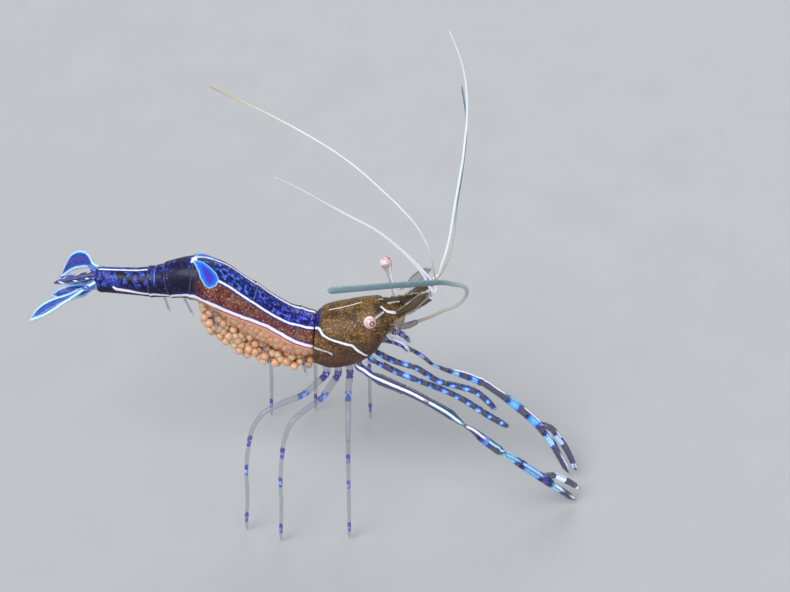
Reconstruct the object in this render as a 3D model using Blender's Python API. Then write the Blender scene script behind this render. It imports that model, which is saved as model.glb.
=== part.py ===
"""A gravid Pederson's cleaner shrimp as a still, life-size museum model.

Units are metres. +X runs to the head, +Y to the animal's left and +Z up, and the feet stand on z = 0.
Places are written in millimetres from the waist, the top of the joint between carapace and abdomen.
"""

import math

import bmesh
import bpy
from mathutils import Vector

MM = 0.001
WAIST_HEIGHT = 14.7
WAIST_FORWARD = 0.3
FLOOR = -WAIST_HEIGHT
GAP = 0.1

SIDES = {"right": -1, "left": 1}

# Thorax: a loft along an axis pitched up to the head. Rows are
# (distance along the axis, half width, height above the axis, depth below it, lean of the ring).
# A ring of lean 1 stands square to the axis and one of lean 0 stands upright, to meet the abdomen.
THORAX_PITCH = math.radians(20)
THORAX_START = (-0.1, -1.5)
CARAPACE = [
    (0.10, 1.78, 1.74, 1.90, 0.0),
    (0.50, 1.96, 1.84, 2.22, 0.3),
    (1.50, 2.10, 1.86, 2.45, 0.8),
    (2.60, 2.04, 1.82, 2.30, 1.0),
    (3.80, 1.80, 1.86, 1.70, 1.0),
    (4.50, 1.52, 1.88, 1.12, 1.0),
    (4.90, 1.34, 1.86, 0.80, 1.0),
]
HEAD = [
    (5.00, 1.20, 1.34, 0.74, 1.0),
    (5.50, 0.98, 1.20, 0.34, 1.0),
    (6.10, 0.80, 1.12, 0.00, 1.0),
    (6.60, 0.62, 1.02, -0.20, 1.0),
]
ROSTRUM_START = 5.0
ROSTRUM_TIP = 9.05
ROSTRUM_TOP = 1.86
ROSTRUM_DROP = 0.40
ROSTRUM_DEPTH = 0.42
ROSTRUM_TEETH = 8
TOOTH = 0.14

# Abdomen: rows are (x, z, half width, height above the middle, depth below it) from waist to tail.
ABDOMEN = [
    (-0.24, -1.50, 1.74, 1.78, 1.10),
    (-1.30, -1.44, 1.84, 1.82, 1.00),
    (-3.02, -0.78, 1.86, 1.84, 0.98),
    (-5.00, 0.62, 1.86, 1.86, 1.00),
    (-6.70, 2.20, 1.80, 1.82, 1.05),
    (-7.85, 2.98, 1.62, 1.70, 1.20),
    (-8.80, 3.12, 1.40, 1.44, 1.26),
    (-10.16, 2.82, 1.14, 1.16, 1.12),
    (-11.46, 2.62, 0.98, 0.98, 0.96),
    (-13.30, 2.60, 0.86, 0.90, 0.86),
    (-15.00, 2.62, 0.80, 0.84, 0.80),
]
# Where each segment ends, as a fraction of the way from waist to tail. JOINT is the fraction left open
# on each side of an end, about half of GAP.
SEGMENT_ENDS = [0.0, 0.125, 0.315, 0.545, 0.675, 0.775, 1.0]
JOINT = 0.003
SEGMENT_RINGS = 6
TRUNK_SIDES = 24
HEAD_SIDES = 16
BELLY = 0.75
# Each segment's shell widens by this share to its rear, and its front lip is smaller by the same share.
SHELL_STEP = 0.04

# Eggs: a lumpy mass slung under the first three segments, held between the swimmerets.
EGG_SPAN = (0.03, 0.455)
EGG_HALF_WIDTH = 1.16
EGG_DEPTHS = (1.85, 2.55, 2.75, 3.05, 3.15, 2.95, 1.95)
EGG_RINGS = 18
EGG_SIDES = 26
EGG_LUMP = 0.07
EGGS_ROUND = 6.5

# Swimmerets: one pair to each of the first five segments.
# Rows are (fraction along the abdomen, distance from the middle, length).
SWIMMERETS = [
    (0.085, 1.48, 1.5),
    (0.220, 1.50, 1.8),
    (0.410, 1.46, 1.9),
    (0.610, 0.80, 1.6),
    (0.725, 0.60, 1.3),
]
SWIMMERET_WIDTH = 0.72
SWIMMERET_ROOT = 0.62

FIN_THICK = 0.5
# Tail blades: base, tip, full width, the direction they spread in, and their width shares from base to tip.
EVEN = (0.4, 0.8, 1.0, 1.0, 0.85, 0.4)
SLENDER = (0.4, 0.5, 0.8, 1.0, 0.9, 0.4)
BROAD = (0.35, 0.7, 0.95, 1.0, 0.9, 0.55)
TAIL_BLADES = {
    "telson": ((-15.12, 0, 2.98), (-17.9, 0, 2.1), 0.95, (0, 1, 0), (0.8, 0.95, 0.85, 0.7, 0.5)),
    "uropod_inner_right": ((-15.12, -0.38, 2.12), (-17.8, -1.4, 2.15), 1.15, (0, 1, 0.15), EVEN),
    "uropod_outer_right": ((-15.15, -0.95, 2.92), (-19.0, -3.1, 1.35), 1.25, (0, 1, 0.45), SLENDER),
    "uropod_inner_left": ((-15.12, 0.38, 2.12), (-17.85, 1.0, 1.75), 1.15, (0, 1, -0.15), EVEN),
    "uropod_outer_left": ((-15.15, 0.95, 2.92), (-17.75, 2.4, 2.0), 1.5, (0, 0.64, 0.76), BROAD),
}
FEELER_RADIUS = 0.25
CORNEA_RADIUS = 0.42


def place(point):
    """A point in millimetres from the waist, as metres from the origin."""
    x, y, z = point
    return Vector((x + WAIST_FORWARD, y, z + WAIST_HEIGHT)) * MM


def material(name, colour, roughness):
    made = bpy.data.materials.new(name)
    made.use_nodes = True
    shader = made.node_tree.nodes["Principled BSDF"]
    shader.inputs["Base Color"].default_value = (*colour, 1.0)
    shader.inputs["Roughness"].default_value = roughness
    return made


SHELL = ((0.30, 0.32, 0.42), 0.35)
WHITE = ((0.86, 0.88, 0.92), 0.40)
BLUE = ((0.20, 0.34, 0.78), 0.35)
EGG = ((0.85, 0.42, 0.26), 0.45)
CORNEA = ((0.80, 0.74, 0.76), 0.15)


def register(made, name, look):
    made.name = name
    made.data.name = name
    made.data.materials.append(material(name + "_mat", *look))
    shrimp.objects.link(made)
    return made


def mesh_object(name, bm, look):
    bmesh.ops.recalc_face_normals(bm, faces=bm.faces)
    mesh = bpy.data.meshes.new(name)
    bm.to_mesh(mesh)
    bm.free()
    return register(bpy.data.objects.new(name, mesh), name, look)


def loft_mesh(rings):
    """A closed body through rings of equally many points, each ring closed by a flat cap."""
    bm = bmesh.new()
    loops = [[bm.verts.new(point) for point in ring] for ring in rings]
    count = len(loops[0])
    for before, after in zip(loops, loops[1:]):
        for k in range(count):
            n = (k + 1) % count
            bm.faces.new((before[k], before[n], after[n], after[k]))
    bm.faces.new(loops[0])
    bm.faces.new(loops[-1])
    return bm


def loft(name, rings, look):
    return mesh_object(name, loft_mesh(rings), look)


def tube(name, points, thick, look, sides=8, steps=3, flat_end=False):
    """A round limb through the points. thick is one radius, or one for each point."""
    curve = bpy.data.curves.new(name, "CURVE")
    curve.dimensions = "3D"
    curve.bevel_depth = MM
    curve.bevel_resolution = (sides - 4) // 2
    curve.resolution_u = steps
    curve.render_resolution_u = steps
    curve.use_fill_caps = True
    spline = curve.splines.new("BEZIER")
    spline.bezier_points.add(len(points) - 1)
    radii = thick if isinstance(thick, (list, tuple)) else [thick] * len(points)
    for knot, point, radius in zip(spline.bezier_points, points, radii):
        knot.co = place(point)
        knot.radius = radius
        knot.handle_left_type = "AUTO"
        knot.handle_right_type = "AUTO"
    if flat_end:
        for knot in list(spline.bezier_points)[-2:]:
            knot.handle_left_type = "VECTOR"
            knot.handle_right_type = "VECTOR"
    return register(bpy.data.objects.new(name, curve), name, look)


def thorax_point(along, side, height, lean=1.0):
    """A point given along the thorax axis, sideways from it and above it."""
    x = THORAX_START[0] + along * math.cos(THORAX_PITCH) - height * math.sin(THORAX_PITCH * lean)
    z = THORAX_START[1] + along * math.sin(THORAX_PITCH) + height * math.cos(THORAX_PITCH * lean)
    return (x, side, z)


def oval(width, top, bottom, sides):
    """Half-oval back over a flattened belly, as (side, height) pairs. bottom < 0 lies above the axis."""
    middle = max(0, -bottom) / 2 + (top / 2 if bottom < 0 else 0)
    ring = []
    for k in range(sides):
        angle = 2 * math.pi * k / sides
        up = math.cos(angle)
        height = (top - middle) * up if up > 0 else -(bottom + middle) * (-up) ** BELLY
        ring.append((width * math.sin(angle), middle + height))
    return ring


def thorax_loft(name, rows, look, sides):
    rings = []
    for along, width, top, bottom, lean in rows:
        pairs = oval(width, top, bottom, sides)
        rings.append([place(thorax_point(along, side, up, lean)) for side, up in pairs])
    return loft(name, rings, look)


def spline_row(rows, share):
    """The row at a fraction of the way along a table, on a smooth curve through its rows."""
    position = share * (len(rows) - 1)
    k = min(int(position), len(rows) - 2)
    u = position - k
    picks = [rows[max(0, min(len(rows) - 1, k + step))] for step in (-1, 0, 1, 2)]
    return tuple(
        b + 0.5 * u * (c - a + u * (2 * a - 5 * b + 4 * c - d + u * (3 * (b - c) + d - a)))
        for a, b, c, d in zip(*picks)
    )


def abdomen_frame(share):
    """The middle of the abdomen, its direction towards the tail and its sizes, at a fraction of the way."""
    x, z, width, top, bottom = spline_row(ABDOMEN, share)
    ahead = spline_row(ABDOMEN, min(share + 0.01, 1.0))
    behind = spline_row(ABDOMEN, max(share - 0.01, 0.0))
    way = Vector((ahead[0] - behind[0], 0, ahead[1] - behind[1])).normalized()
    return (x, z), way, (width, top, bottom)


def abdomen_point(share, side, height):
    (x, z), way, _ = abdomen_frame(share)
    return (x + way.z * height, side, z - way.x * height)


def abdomen_ring(share, scale):
    _, _, (width, top, bottom) = abdomen_frame(share)
    pairs = oval(width * scale, top * scale, bottom * scale, TRUNK_SIDES)
    return [place(abdomen_point(share, side, up)) for side, up in pairs]


def fin_rings(base, tip, width, across, profile, sides=10):
    """Rings of a flat blade from base to tip. profile gives its width share at even steps."""
    base, tip, across = Vector(base), Vector(tip), Vector(across)
    way = (tip - base).normalized()
    across = (across - across.dot(way) * way).normalized()
    up = way.cross(across)
    rings = []
    for k, share in enumerate(profile):
        middle = base.lerp(tip, k / (len(profile) - 1))
        half = max(width * share, FIN_THICK) / 2
        ring = []
        for step in range(sides):
            angle = 2 * math.pi * step / sides
            offset = across * half * math.cos(angle) + up * FIN_THICK / 2 * math.sin(angle)
            ring.append(place(middle + offset))
        rings.append(ring)
    return rings


def fin(name, base, tip, width, across, look, profile=EVEN):
    return loft(name, fin_rings(base, tip, width, across, profile), look)


def build_thorax():
    thorax_loft("carapace", CARAPACE, SHELL, TRUNK_SIDES)
    thorax_loft("head", HEAD, SHELL, HEAD_SIDES)
    build_rostrum()


def build_rostrum():
    """A thin blade with forward-leaning teeth along its upper edge."""
    span = ROSTRUM_TIP - ROSTRUM_START
    tip_height = ROSTRUM_TOP - ROSTRUM_DROP
    outline = [
        (ROSTRUM_START, ROSTRUM_TOP - ROSTRUM_DEPTH),
        (ROSTRUM_START + 0.5 * span, tip_height - 0.5 * ROSTRUM_DEPTH),
        (ROSTRUM_TIP, tip_height - 0.2 * ROSTRUM_DEPTH),
    ]
    for k in reversed(range(ROSTRUM_TEETH)):
        for share, rise in ((0.95, TOOTH), (0.75, 0.0)):
            u = (k + share) / ROSTRUM_TEETH
            height = ROSTRUM_TOP - ROSTRUM_DROP * u + rise * (1 - 0.6 * u)
            outline.append((ROSTRUM_START + u * span, height))
    outline.append((ROSTRUM_START, ROSTRUM_TOP))
    bm = bmesh.new()
    verts = [bm.verts.new(place(thorax_point(along, -FIN_THICK / 2, up))) for along, up in outline]
    face = bm.faces.new(verts)
    swept = bmesh.ops.extrude_face_region(bm, geom=[face])
    moved = [item for item in swept["geom"] if isinstance(item, bmesh.types.BMVert)]
    bmesh.ops.translate(bm, verts=moved, vec=(0, FIN_THICK * MM, 0))
    mesh_object("rostrum", bm, SHELL)


def swimmeret_rings(share, reach, length, side):
    """A short flat paddle that hangs from a segment's lower edge."""
    _, _, (_, _, depth) = abdomen_frame(share)
    top = Vector(abdomen_point(share, side * reach, -SWIMMERET_ROOT * depth))
    tip = top + Vector((0.25, side * 0.12, -1)).normalized() * length
    return fin_rings(top, tip, SWIMMERET_WIDTH, (1, 0, 0), (0.7, 0.9, 1.0, 0.6), sides=6)


def join_to(owner, rings):
    """Unites a lofted body with its owner, so that both are one closed body."""
    helper = loft("helper", rings, SHELL)
    union = owner.modifiers.new("union", "BOOLEAN")
    union.operation = "UNION"
    union.solver = "EXACT"
    union.object = helper
    bpy.context.view_layer.update()
    graph = bpy.context.evaluated_depsgraph_get()
    joined = bpy.data.meshes.new_from_object(owner.evaluated_get(graph))
    owner.modifiers.clear()
    old = owner.data
    owner.data = joined
    bpy.data.meshes.remove(old)
    joined.name = owner.name
    spare = helper.data
    bpy.data.objects.remove(helper)
    bpy.data.meshes.remove(spare)


def build_abdomen():
    segments = []
    for number, (start, end) in enumerate(zip(SEGMENT_ENDS, SEGMENT_ENDS[1:]), 1):
        length = end - start - 2 * JOINT
        rings = []
        for k in range(SEGMENT_RINGS):
            u = k / (SEGMENT_RINGS - 1)
            step = -SHELL_STEP if k == 0 else SHELL_STEP * (u - 0.5)
            rings.append(abdomen_ring(start + JOINT + u * length, 1 + step))
        segments.append(loft("abdomen_%d" % number, rings, SHELL))
    for segment, swimmeret in zip(segments, SWIMMERETS):
        for side in SIDES.values():
            join_to(segment, swimmeret_rings(*swimmeret, side))


def egg_ring(share, depth, swell, odd):
    """One ring of the egg mass. Its lumps lie between those of the rings beside it."""
    _, _, (_, _, belly) = abdomen_frame(share)
    top = belly * (1 + SHELL_STEP) + GAP
    half = (depth - top) / 2
    ring = []
    for step in range(EGG_SIDES):
        angle = 2 * math.pi * step / EGG_SIDES
        lump = 1 + EGG_LUMP * swell * math.cos(EGGS_ROUND * angle + math.pi * odd)
        up = math.cos(angle) * (lump if math.cos(angle) < 0 else 1)
        side = EGG_HALF_WIDTH * swell * lump * math.sin(angle)
        ring.append(place(abdomen_point(share, side, half * up - top - half)))
    return ring


def build_eggs():
    first, last = EGG_SPAN
    depths = [(depth,) for depth in EGG_DEPTHS]
    rings = []
    for k in range(EGG_RINGS):
        u = k / (EGG_RINGS - 1)
        (depth,) = spline_row(depths, u)
        swell = math.sin(math.pi * (0.12 + 0.76 * u)) ** 0.5
        rings.append(egg_ring(first + u * (last - first), depth, swell, k % 2))
    loft("egg_mass", rings, EGG)


def build_tail():
    """A spread fan: the telson in the middle and two blades on each side, the left outer one raised."""
    for name, (base, tip, width, across, profile) in TAIL_BLADES.items():
        fin(name, base, tip, width, across, BLUE, profile)


def build_eyes():
    """Stalked eyes: the near one looks out and back, the far one more up."""
    stalks = {
        "right": [(4.62, -0.98, 1.52), (4.25, -1.70, 1.90), (3.88, -2.42, 2.16)],
        "left": [(4.66, 0.98, 1.56), (4.72, 1.60, 2.02), (4.45, 2.42, 2.62)],
    }
    for name, points in stalks.items():
        tube("eyestalk_" + name, points, [0.26, 0.25, 0.36], WHITE)
        last, before = Vector(points[-1]), Vector(points[-2])
        centre = last + (last - before).normalized() * (CORNEA_RADIUS + GAP / 2)
        bm = bmesh.new()
        bmesh.ops.create_uvsphere(bm, u_segments=12, v_segments=8, radius=CORNEA_RADIUS * MM)
        bmesh.ops.translate(bm, verts=bm.verts, vec=place(centre))
        mesh_object("cornea_" + name, bm, CORNEA)


def build_antennae():
    for name, side in SIDES.items():
        base = [(6.05, side * 0.72, 1.72), (6.9, side * 0.76, 2.50), (7.66, side * 0.78, 3.20)]
        tube("antennule_peduncle_" + name, base, [0.30, 0.34, 0.40], WHITE, steps=2)
        lower = [(5.40, side * 1.38, 0.78), (6.1, side * 1.55, 1.10), (6.85, side * 1.62, 1.62)]
        tube("antenna_peduncle_" + name, lower, [0.30, 0.36, 0.36], SHELL, steps=2)
        scale_root, scale_tip = (5.75, side * 1.55, 2.0), (8.0, side * 1.66, 3.40)
        fin("antennal_scale_" + name, scale_root, scale_tip, 0.86, (0, 1, 0), SHELL)


# Feelers: hand-placed routes, each split in two lengths. The right inner antennule and the left antenna
# are free guesses, as the pose leaves them out of sight.
FEELERS = {
    "antennule_outer_left": [
        (7.95, 1.08, 3.42), (8.50, 1.50, 5.40), (8.92, 2.40, 8.30), (9.33, 3.80, 11.10),
        (9.47, 5.20, 13.90), (9.10, 6.60, 16.30), (8.10, 7.80, 18.40),
    ],
    "antennule_inner_left": [
        (7.78, 0.46, 3.60), (7.50, 0.50, 5.30), (6.65, 0.80, 7.40), (5.20, 1.25, 9.05),
        (1.96, 1.90, 11.90), (-2.30, 2.40, 14.50), (-7.04, 3.00, 16.60),
    ],
    "antennule_outer_right": [
        (7.72, -1.10, 3.62), (6.90, -1.30, 5.60), (5.90, -1.50, 7.10), (4.08, -2.20, 9.58),
        (1.70, -3.10, 11.76), (-0.21, -3.80, 13.61), (-2.02, -4.40, 15.13),
    ],
    "antennule_inner_right": [
        (7.90, -0.48, 3.50), (7.20, -0.42, 4.75), (5.90, -0.60, 6.40), (4.05, -0.90, 8.50),
        (1.70, -1.30, 10.30), (0.00, -1.70, 11.70),
    ],
    "antenna_right": [
        (7.00, -1.68, 1.72), (8.30, -1.75, 2.55), (9.55, -1.95, 3.60), (9.95, -2.40, 5.20),
        (8.60, -3.30, 6.40), (6.70, -4.60, 7.25), (4.20, -6.30, 8.25), (1.50, -8.00, 9.20),
    ],
    "antenna_left": [
        (7.00, 1.68, 1.72), (8.10, 2.30, 2.60), (8.75, 3.20, 4.40), (8.95, 4.30, 6.70),
        (9.30, 5.60, 9.40), (9.40, 6.80, 11.90), (9.00, 7.70, 14.20),
    ],
}


def build_feelers():
    for name, points in FEELERS.items():
        middle = len(points) // 2
        toward = (Vector(points[middle]) - Vector(points[middle - 1])).normalized()
        stop = Vector(points[middle]) - toward * GAP
        near = points[:middle] + [tuple(stop)]
        tube(name + "_near", near, FEELER_RADIUS, WHITE, sides=6)
        tube(name + "_far", points[middle:], FEELER_RADIUS, WHITE, sides=6)


def build_mouth():
    for name, side in SIDES.items():
        points = [(4.75, side * 0.45, -1.15), (5.55, side * 0.50, -1.45), (6.15, side * 0.50, -2.20)]
        tube("maxilliped_" + name, points, [0.30, 0.28, 0.25], SHELL, steps=2)


def build_first_legs():
    """The small, slender first claws, held forward between the big ones."""
    tube("first_leg_right", [
        (3.55, -0.52, -2.85), (4.85, -0.70, -3.60), (6.57, -0.78, -4.40), (8.71, -0.90, -5.24),
        (10.31, -0.90, -6.25), (11.50, -0.90, -7.21), (13.12, -0.80, -8.43),
    ], [0.30, 0.27, 0.25, 0.25, 0.26, 0.29, 0.25], BLUE, steps=2)
    tube("first_leg_left", [
        (3.55, 0.52, -2.85), (4.40, 0.66, -3.75), (5.44, 0.70, -4.29), (6.61, 0.70, -4.70),
        (8.08, 0.70, -5.80), (10.65, 0.70, -6.60), (12.17, 0.70, -8.27),
    ], [0.30, 0.27, 0.25, 0.25, 0.26, 0.29, 0.25], BLUE, steps=2)


def build_second_legs():
    """The long second claws: arm, wrist, claw with its fixed finger, and the moving finger."""
    arms = {
        "right": [(2.80, -1.25, -3.05), (3.80, -1.62, -3.50), (6.80, -2.90, -3.95), (10.10, -4.33, -4.95)],
        "left": [(2.80, 1.25, -3.05), (4.20, 1.70, -3.15), (5.90, 2.35, -4.35), (7.70, 3.38, -6.75)],
    }
    wrists = {
        "right": [(10.27, -4.36, -5.12), (11.40, -3.98, -6.60), (12.68, -3.50, -8.18)],
        "left": [(7.90, 3.38, -6.95), (9.60, 3.24, -7.38), (11.30, 3.02, -7.93)],
    }
    claws = {
        "right": [(12.80, -3.45, -8.36), (14.30, -2.90, -10.05), (15.95, -2.20, -12.10), (18.05, -1.62, -14.40)],
        "left": [(11.48, 2.98, -8.05), (13.40, 2.55, -9.30), (15.50, 1.90, -11.05), (17.55, 0.72, -14.10)],
    }
    fingers = {
        "right": [(16.44, -1.88, -11.86), (17.50, -1.52, -12.75), (18.32, -1.30, -13.63)],
        "left": [(16.10, 1.76, -10.76), (17.20, 1.25, -12.10), (18.05, 0.62, -13.70)],
    }
    for name in SIDES:
        tube("second_leg_arm_" + name, arms[name], [0.36, 0.30, 0.27, 0.32], SHELL)
        tube("second_leg_wrist_" + name, wrists[name], [0.25, 0.28, 0.36], BLUE)
        tube("second_leg_claw_" + name, claws[name], [0.32, 0.42, 0.40, 0.22], BLUE)
        tube("second_leg_finger_" + name, fingers[name], [0.24, 0.24, 0.20], BLUE, steps=2)


# Walking legs, front to back: (x of the base, foot x, foot y) on each side.
WALKING_LEGS = {
    "right": [(2.15, 2.4, -6.2), (1.35, -2.3, -6.8), (0.55, -4.8, -5.9)],
    "left": [(2.15, 2.9, 6.0), (1.35, -1.2, 6.6), (0.55, -4.4, 5.8)],
}
LEG_ROOT_SIDE = 1.3
LEG_ROOT_HEIGHT = -3.55
KNEE_RISE = 0.15
FOOT_DROP = 0.6


def leg_points(root_x, foot_x, foot_y):
    """Out to the knee, over it, and straight down to a flat foot."""
    side = math.copysign(1, foot_y)
    root = Vector((root_x, side * LEG_ROOT_SIDE, LEG_ROOT_HEIGHT - 0.08 * (2.15 - root_x)))
    foot = Vector((foot_x, foot_y, FLOOR))
    outward = foot - root
    outward.z = 0
    thigh = root + Vector((0.25 * outward.x, 0.42 * outward.y, -0.45 + KNEE_RISE))
    knee = root + outward * 0.76 + Vector((0, 0, -1.1 + KNEE_RISE))
    shin = root + outward * 0.93 + Vector((0, 0, -3.3))
    ankle = foot + Vector((-0.02 * outward.x, -0.02 * outward.y, FOOT_DROP))
    ankle.x, ankle.y = foot.x, foot.y
    low = shin.lerp(ankle, 0.6)
    return [tuple(point) for point in (root, thigh, knee, shin, low, ankle, foot)]


def build_walking_legs():
    for name, legs in WALKING_LEGS.items():
        for number, leg in enumerate(legs, 3):
            tube("walking_leg_%d_%s" % (number, name), leg_points(*leg),
                 [0.30, 0.28, 0.26, 0.25, 0.25, 0.25, 0.25], SHELL, steps=2, flat_end=True)


def clear_scene():
    for item in list(bpy.data.objects):
        bpy.data.objects.remove(item)
    for group in list(bpy.data.collections):
        bpy.data.collections.remove(group)


clear_scene()
shrimp = bpy.data.collections.new("cleaner_shrimp")
bpy.context.scene.collection.children.link(shrimp)
build_thorax()
build_abdomen()
build_eggs()
build_tail()
build_eyes()
build_antennae()
build_feelers()
build_mouth()
build_first_legs()
build_second_legs()
build_walking_legs()
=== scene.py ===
"""The looks of the cleaner shrimp: clear shell plates over flesh, eggs, eyes, limbs and feelers.

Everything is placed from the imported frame. The middle lines of trunk, limbs and feelers are read back
from the CAD solids' own rings, and sizes are in millimetres unless a name says otherwise.
"""

import math
import random

import bmesh
import bpy
import numpy as np
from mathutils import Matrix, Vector
from mathutils.bvhtree import BVHTree


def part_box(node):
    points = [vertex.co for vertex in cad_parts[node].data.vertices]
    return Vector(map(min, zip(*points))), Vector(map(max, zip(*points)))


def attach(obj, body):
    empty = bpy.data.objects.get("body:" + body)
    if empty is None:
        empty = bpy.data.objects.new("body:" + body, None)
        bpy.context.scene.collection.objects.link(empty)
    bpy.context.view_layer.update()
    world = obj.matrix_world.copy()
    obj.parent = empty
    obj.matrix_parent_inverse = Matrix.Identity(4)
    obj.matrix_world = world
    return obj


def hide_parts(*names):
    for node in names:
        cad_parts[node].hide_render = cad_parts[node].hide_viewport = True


MM = 0.001
SIDES = {"right": -1, "left": 1}
SEGMENTS = ["abdomen_%d" % number for number in range(1, 7)]

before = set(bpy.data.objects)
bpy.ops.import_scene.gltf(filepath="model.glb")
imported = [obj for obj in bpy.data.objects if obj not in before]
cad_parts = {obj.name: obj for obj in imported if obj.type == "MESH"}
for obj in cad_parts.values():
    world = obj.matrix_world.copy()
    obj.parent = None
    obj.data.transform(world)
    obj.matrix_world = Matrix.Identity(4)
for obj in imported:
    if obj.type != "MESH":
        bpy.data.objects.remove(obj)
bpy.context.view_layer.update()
dice = random.Random(11)


# -------- reading the CAD solids

def unit(vectors):
    return vectors / np.maximum(np.linalg.norm(vectors, axis=-1, keepdims=True), 1e-12)


def distances(points):
    """How far along a path each of its points lies."""
    return np.concatenate([[0], np.cumsum(np.linalg.norm(np.diff(points, axis=0), axis=1))])


def welded(node):
    """A CAD node's points in millimetres, with doubles made one, and its triangles."""
    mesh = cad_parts[node].data
    mesh.calc_loop_triangles()
    points = np.empty(len(mesh.vertices) * 3)
    mesh.vertices.foreach_get("co", points)
    faces = np.empty(len(mesh.loop_triangles) * 3, int)
    mesh.loop_triangles.foreach_get("vertices", faces)
    points = points.reshape(-1, 3) / MM
    _, first, index = np.unique(np.round(points, 3), axis=0, return_index=True, return_inverse=True)
    return points[first], index.reshape(-1)[faces].reshape(-1, 3)


def crosses_of(points, faces):
    """Each triangle's outward direction, as long as twice its area."""
    corners = points[faces]
    return np.cross(corners[:, 1] - corners[:, 0], corners[:, 2] - corners[:, 0])


def flat_patches(points, faces):
    """Groups of points that share one flat face of six corners or more: the caps of a loft or tube."""
    normals = unit(crosses_of(points, faces))
    owner = list(range(len(faces)))

    def root(k):
        while owner[k] != k:
            k = owner[k]
        return k

    edges = {}
    for k, face in enumerate(faces):
        for a, b in ((0, 1), (1, 2), (2, 0)):
            other = edges.setdefault(frozenset((face[a], face[b])), k)
            if other != k and normals[other] @ normals[k] > 0.99999:
                owner[root(k)] = root(other)
    groups = {}
    for k, face in enumerate(faces):
        groups.setdefault(root(k), set()).update(int(corner) for corner in face)
    return [sorted(group) for group in groups.values() if len(group) > 5]


def end_caps(node, base, many=False):
    """A solid's two end caps as lists of points, the one nearer to base first, and its points and faces.

    The caps are its two smallest flat patches, or the two with the most points.
    """
    points, faces = welded(node)
    patches = flat_patches(points, faces)
    patches.sort(key=lambda group: -len(group) if many else np.linalg.norm(np.ptp(points[group], axis=0)))
    return sorted(patches[:2], key=lambda group: np.linalg.norm(points[group].mean(0) - base)), points, faces


def rings_of(node, base):
    """The rings of points of a tube or loft, from the end cap nearer to base to the other."""
    (first, _), points, faces = end_caps(node, base)
    near = {}
    for face in faces:
        for corner in face:
            near.setdefault(int(corner), set()).update(int(other) for other in face)
    ring, seen, rings = set(first), set(first), []
    while ring:
        rings.append(points[sorted(ring)])
        ring = set().union(*(near[k] for k in ring)) - seen
        seen |= ring
    return rings


def smooth(knots, values, at):
    """Cubic interpolation of values given at rising knots."""
    knots, values, at = np.asarray(knots, float), np.asarray(values, float), np.asarray(at, float)
    slopes = np.gradient(values, knots, axis=0)
    k = np.clip(np.searchsorted(knots, at, side="right") - 1, 0, len(knots) - 2)
    span = knots[k + 1] - knots[k]
    u = (at - knots[k]) / span
    if values.ndim > 1:
        u, span = u[..., None], span[..., None]
    return ((2 * u**3 - 3 * u**2 + 1) * values[k] + (u**3 - 2 * u**2 + u) * span * slopes[k]
            + (3 * u**2 - 2 * u**3) * values[k + 1] + (u**3 - u**2) * span * slopes[k + 1])


def middle_of(node):
    low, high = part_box(node)
    return (np.array(low) + np.array(high)) / 2 / MM


class Trunk:
    """A stretch of the trunk as its rings give it: a middle line with half width, height and depth."""

    def __init__(self, rings):
        rows = []
        for ring in rings:
            ridge, keel = ring[ring[:, 2].argmax()], ring[ring[:, 2].argmin()]
            middle = (ring[ring[:, 1].argmax()] + ring[ring[:, 1].argmin()]) / 2
            up = unit(ridge - keel)
            rows.append((*middle, *up, ring[:, 1].max(), (ridge - middle) @ up, (middle - keel) @ up))
        self.rows = np.array(rows)
        self.knots = distances(self.rows[:, :3])
        self.length = float(self.knots[-1])

    def at(self, along):
        """Middle, up direction, half width, height and depth at each distance along."""
        row = smooth(self.knots, self.rows, along)
        return row[..., :3], unit(row[..., 3:6]), row[..., 6], row[..., 7], row[..., 8]

    def refine(self, nodes):
        """Adds rows, whose sizes are found by casting rays at the CAD solids' surface."""
        points, faces, base = [], [], 0
        for node in nodes:
            own, own_faces = welded(node)
            points += own.tolist()
            faces += (own_faces + base).tolist()
            base += len(own)
        tree = BVHTree.FromPolygons(points, faces)

        def reach(middle, way, usual):
            hit = tree.ray_cast(Vector(middle), Vector(way))
            return hit[3] if hit[0] and abs(hit[3] - usual) < 0.5 * usual else usual

        along, rows = [self.knots[0]], [self.rows[0]]
        for a, b, row in zip(self.knots, self.knots[1:], self.rows[1:]):
            for at in (a + share * (b - a) for share in (0.25, 0.5, 0.75)):
                middle, up, width, top, depth = self.at(at)
                along.append(at)
                rows.append(np.array((*middle, *up, reach(middle, (0, 1, 0), width), reach(middle, up, top),
                                      reach(middle, -up, depth))))
            along.append(b)
            rows.append(row)
        self.knots, self.rows = np.array(along), np.array(rows)


ABDOMEN_CAPS = []
for segment in SEGMENTS:
    caps, cap_points, _ = end_caps(segment, middle_of("carapace"), many=True)
    ABDOMEN_CAPS += [cap_points[group] for group in (caps if segment == SEGMENTS[0] else caps[1:])]
abdomen = Trunk(ABDOMEN_CAPS)
SEGMENT_KNOTS = abdomen.knots
abdomen.refine(SEGMENTS)
thorax = Trunk(rings_of("carapace", middle_of("abdomen_1")) + rings_of("head", middle_of("carapace"))[1:])


class Route:
    """A middle line with radii along it."""

    def __init__(self, points, radii):
        self.points, self.radii = np.array(points), np.array(radii)
        self.knots = distances(self.points)
        self.length = float(self.knots[-1])

    def led_from(self, point):
        """The same route, led back to start at a point."""
        return Route([point, *self.points], [self.radii[0], *self.radii])

    def share_of(self, node):
        """How far along, as a share of its length, the route comes to a CAD node."""
        first = rings_of(node, self.points[0])[0].mean(0)
        return float(self.knots[np.linalg.norm(self.points - first, axis=1).argmin()] / self.length)

    def at(self, along):
        return smooth(self.knots, self.points, along)

    def radius(self, along):
        return np.interp(along, self.knots, self.radii)


JOINT_GAP = 0.3  # rings nearer than this, in millimetres, are the two ends that meet at a joint


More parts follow.
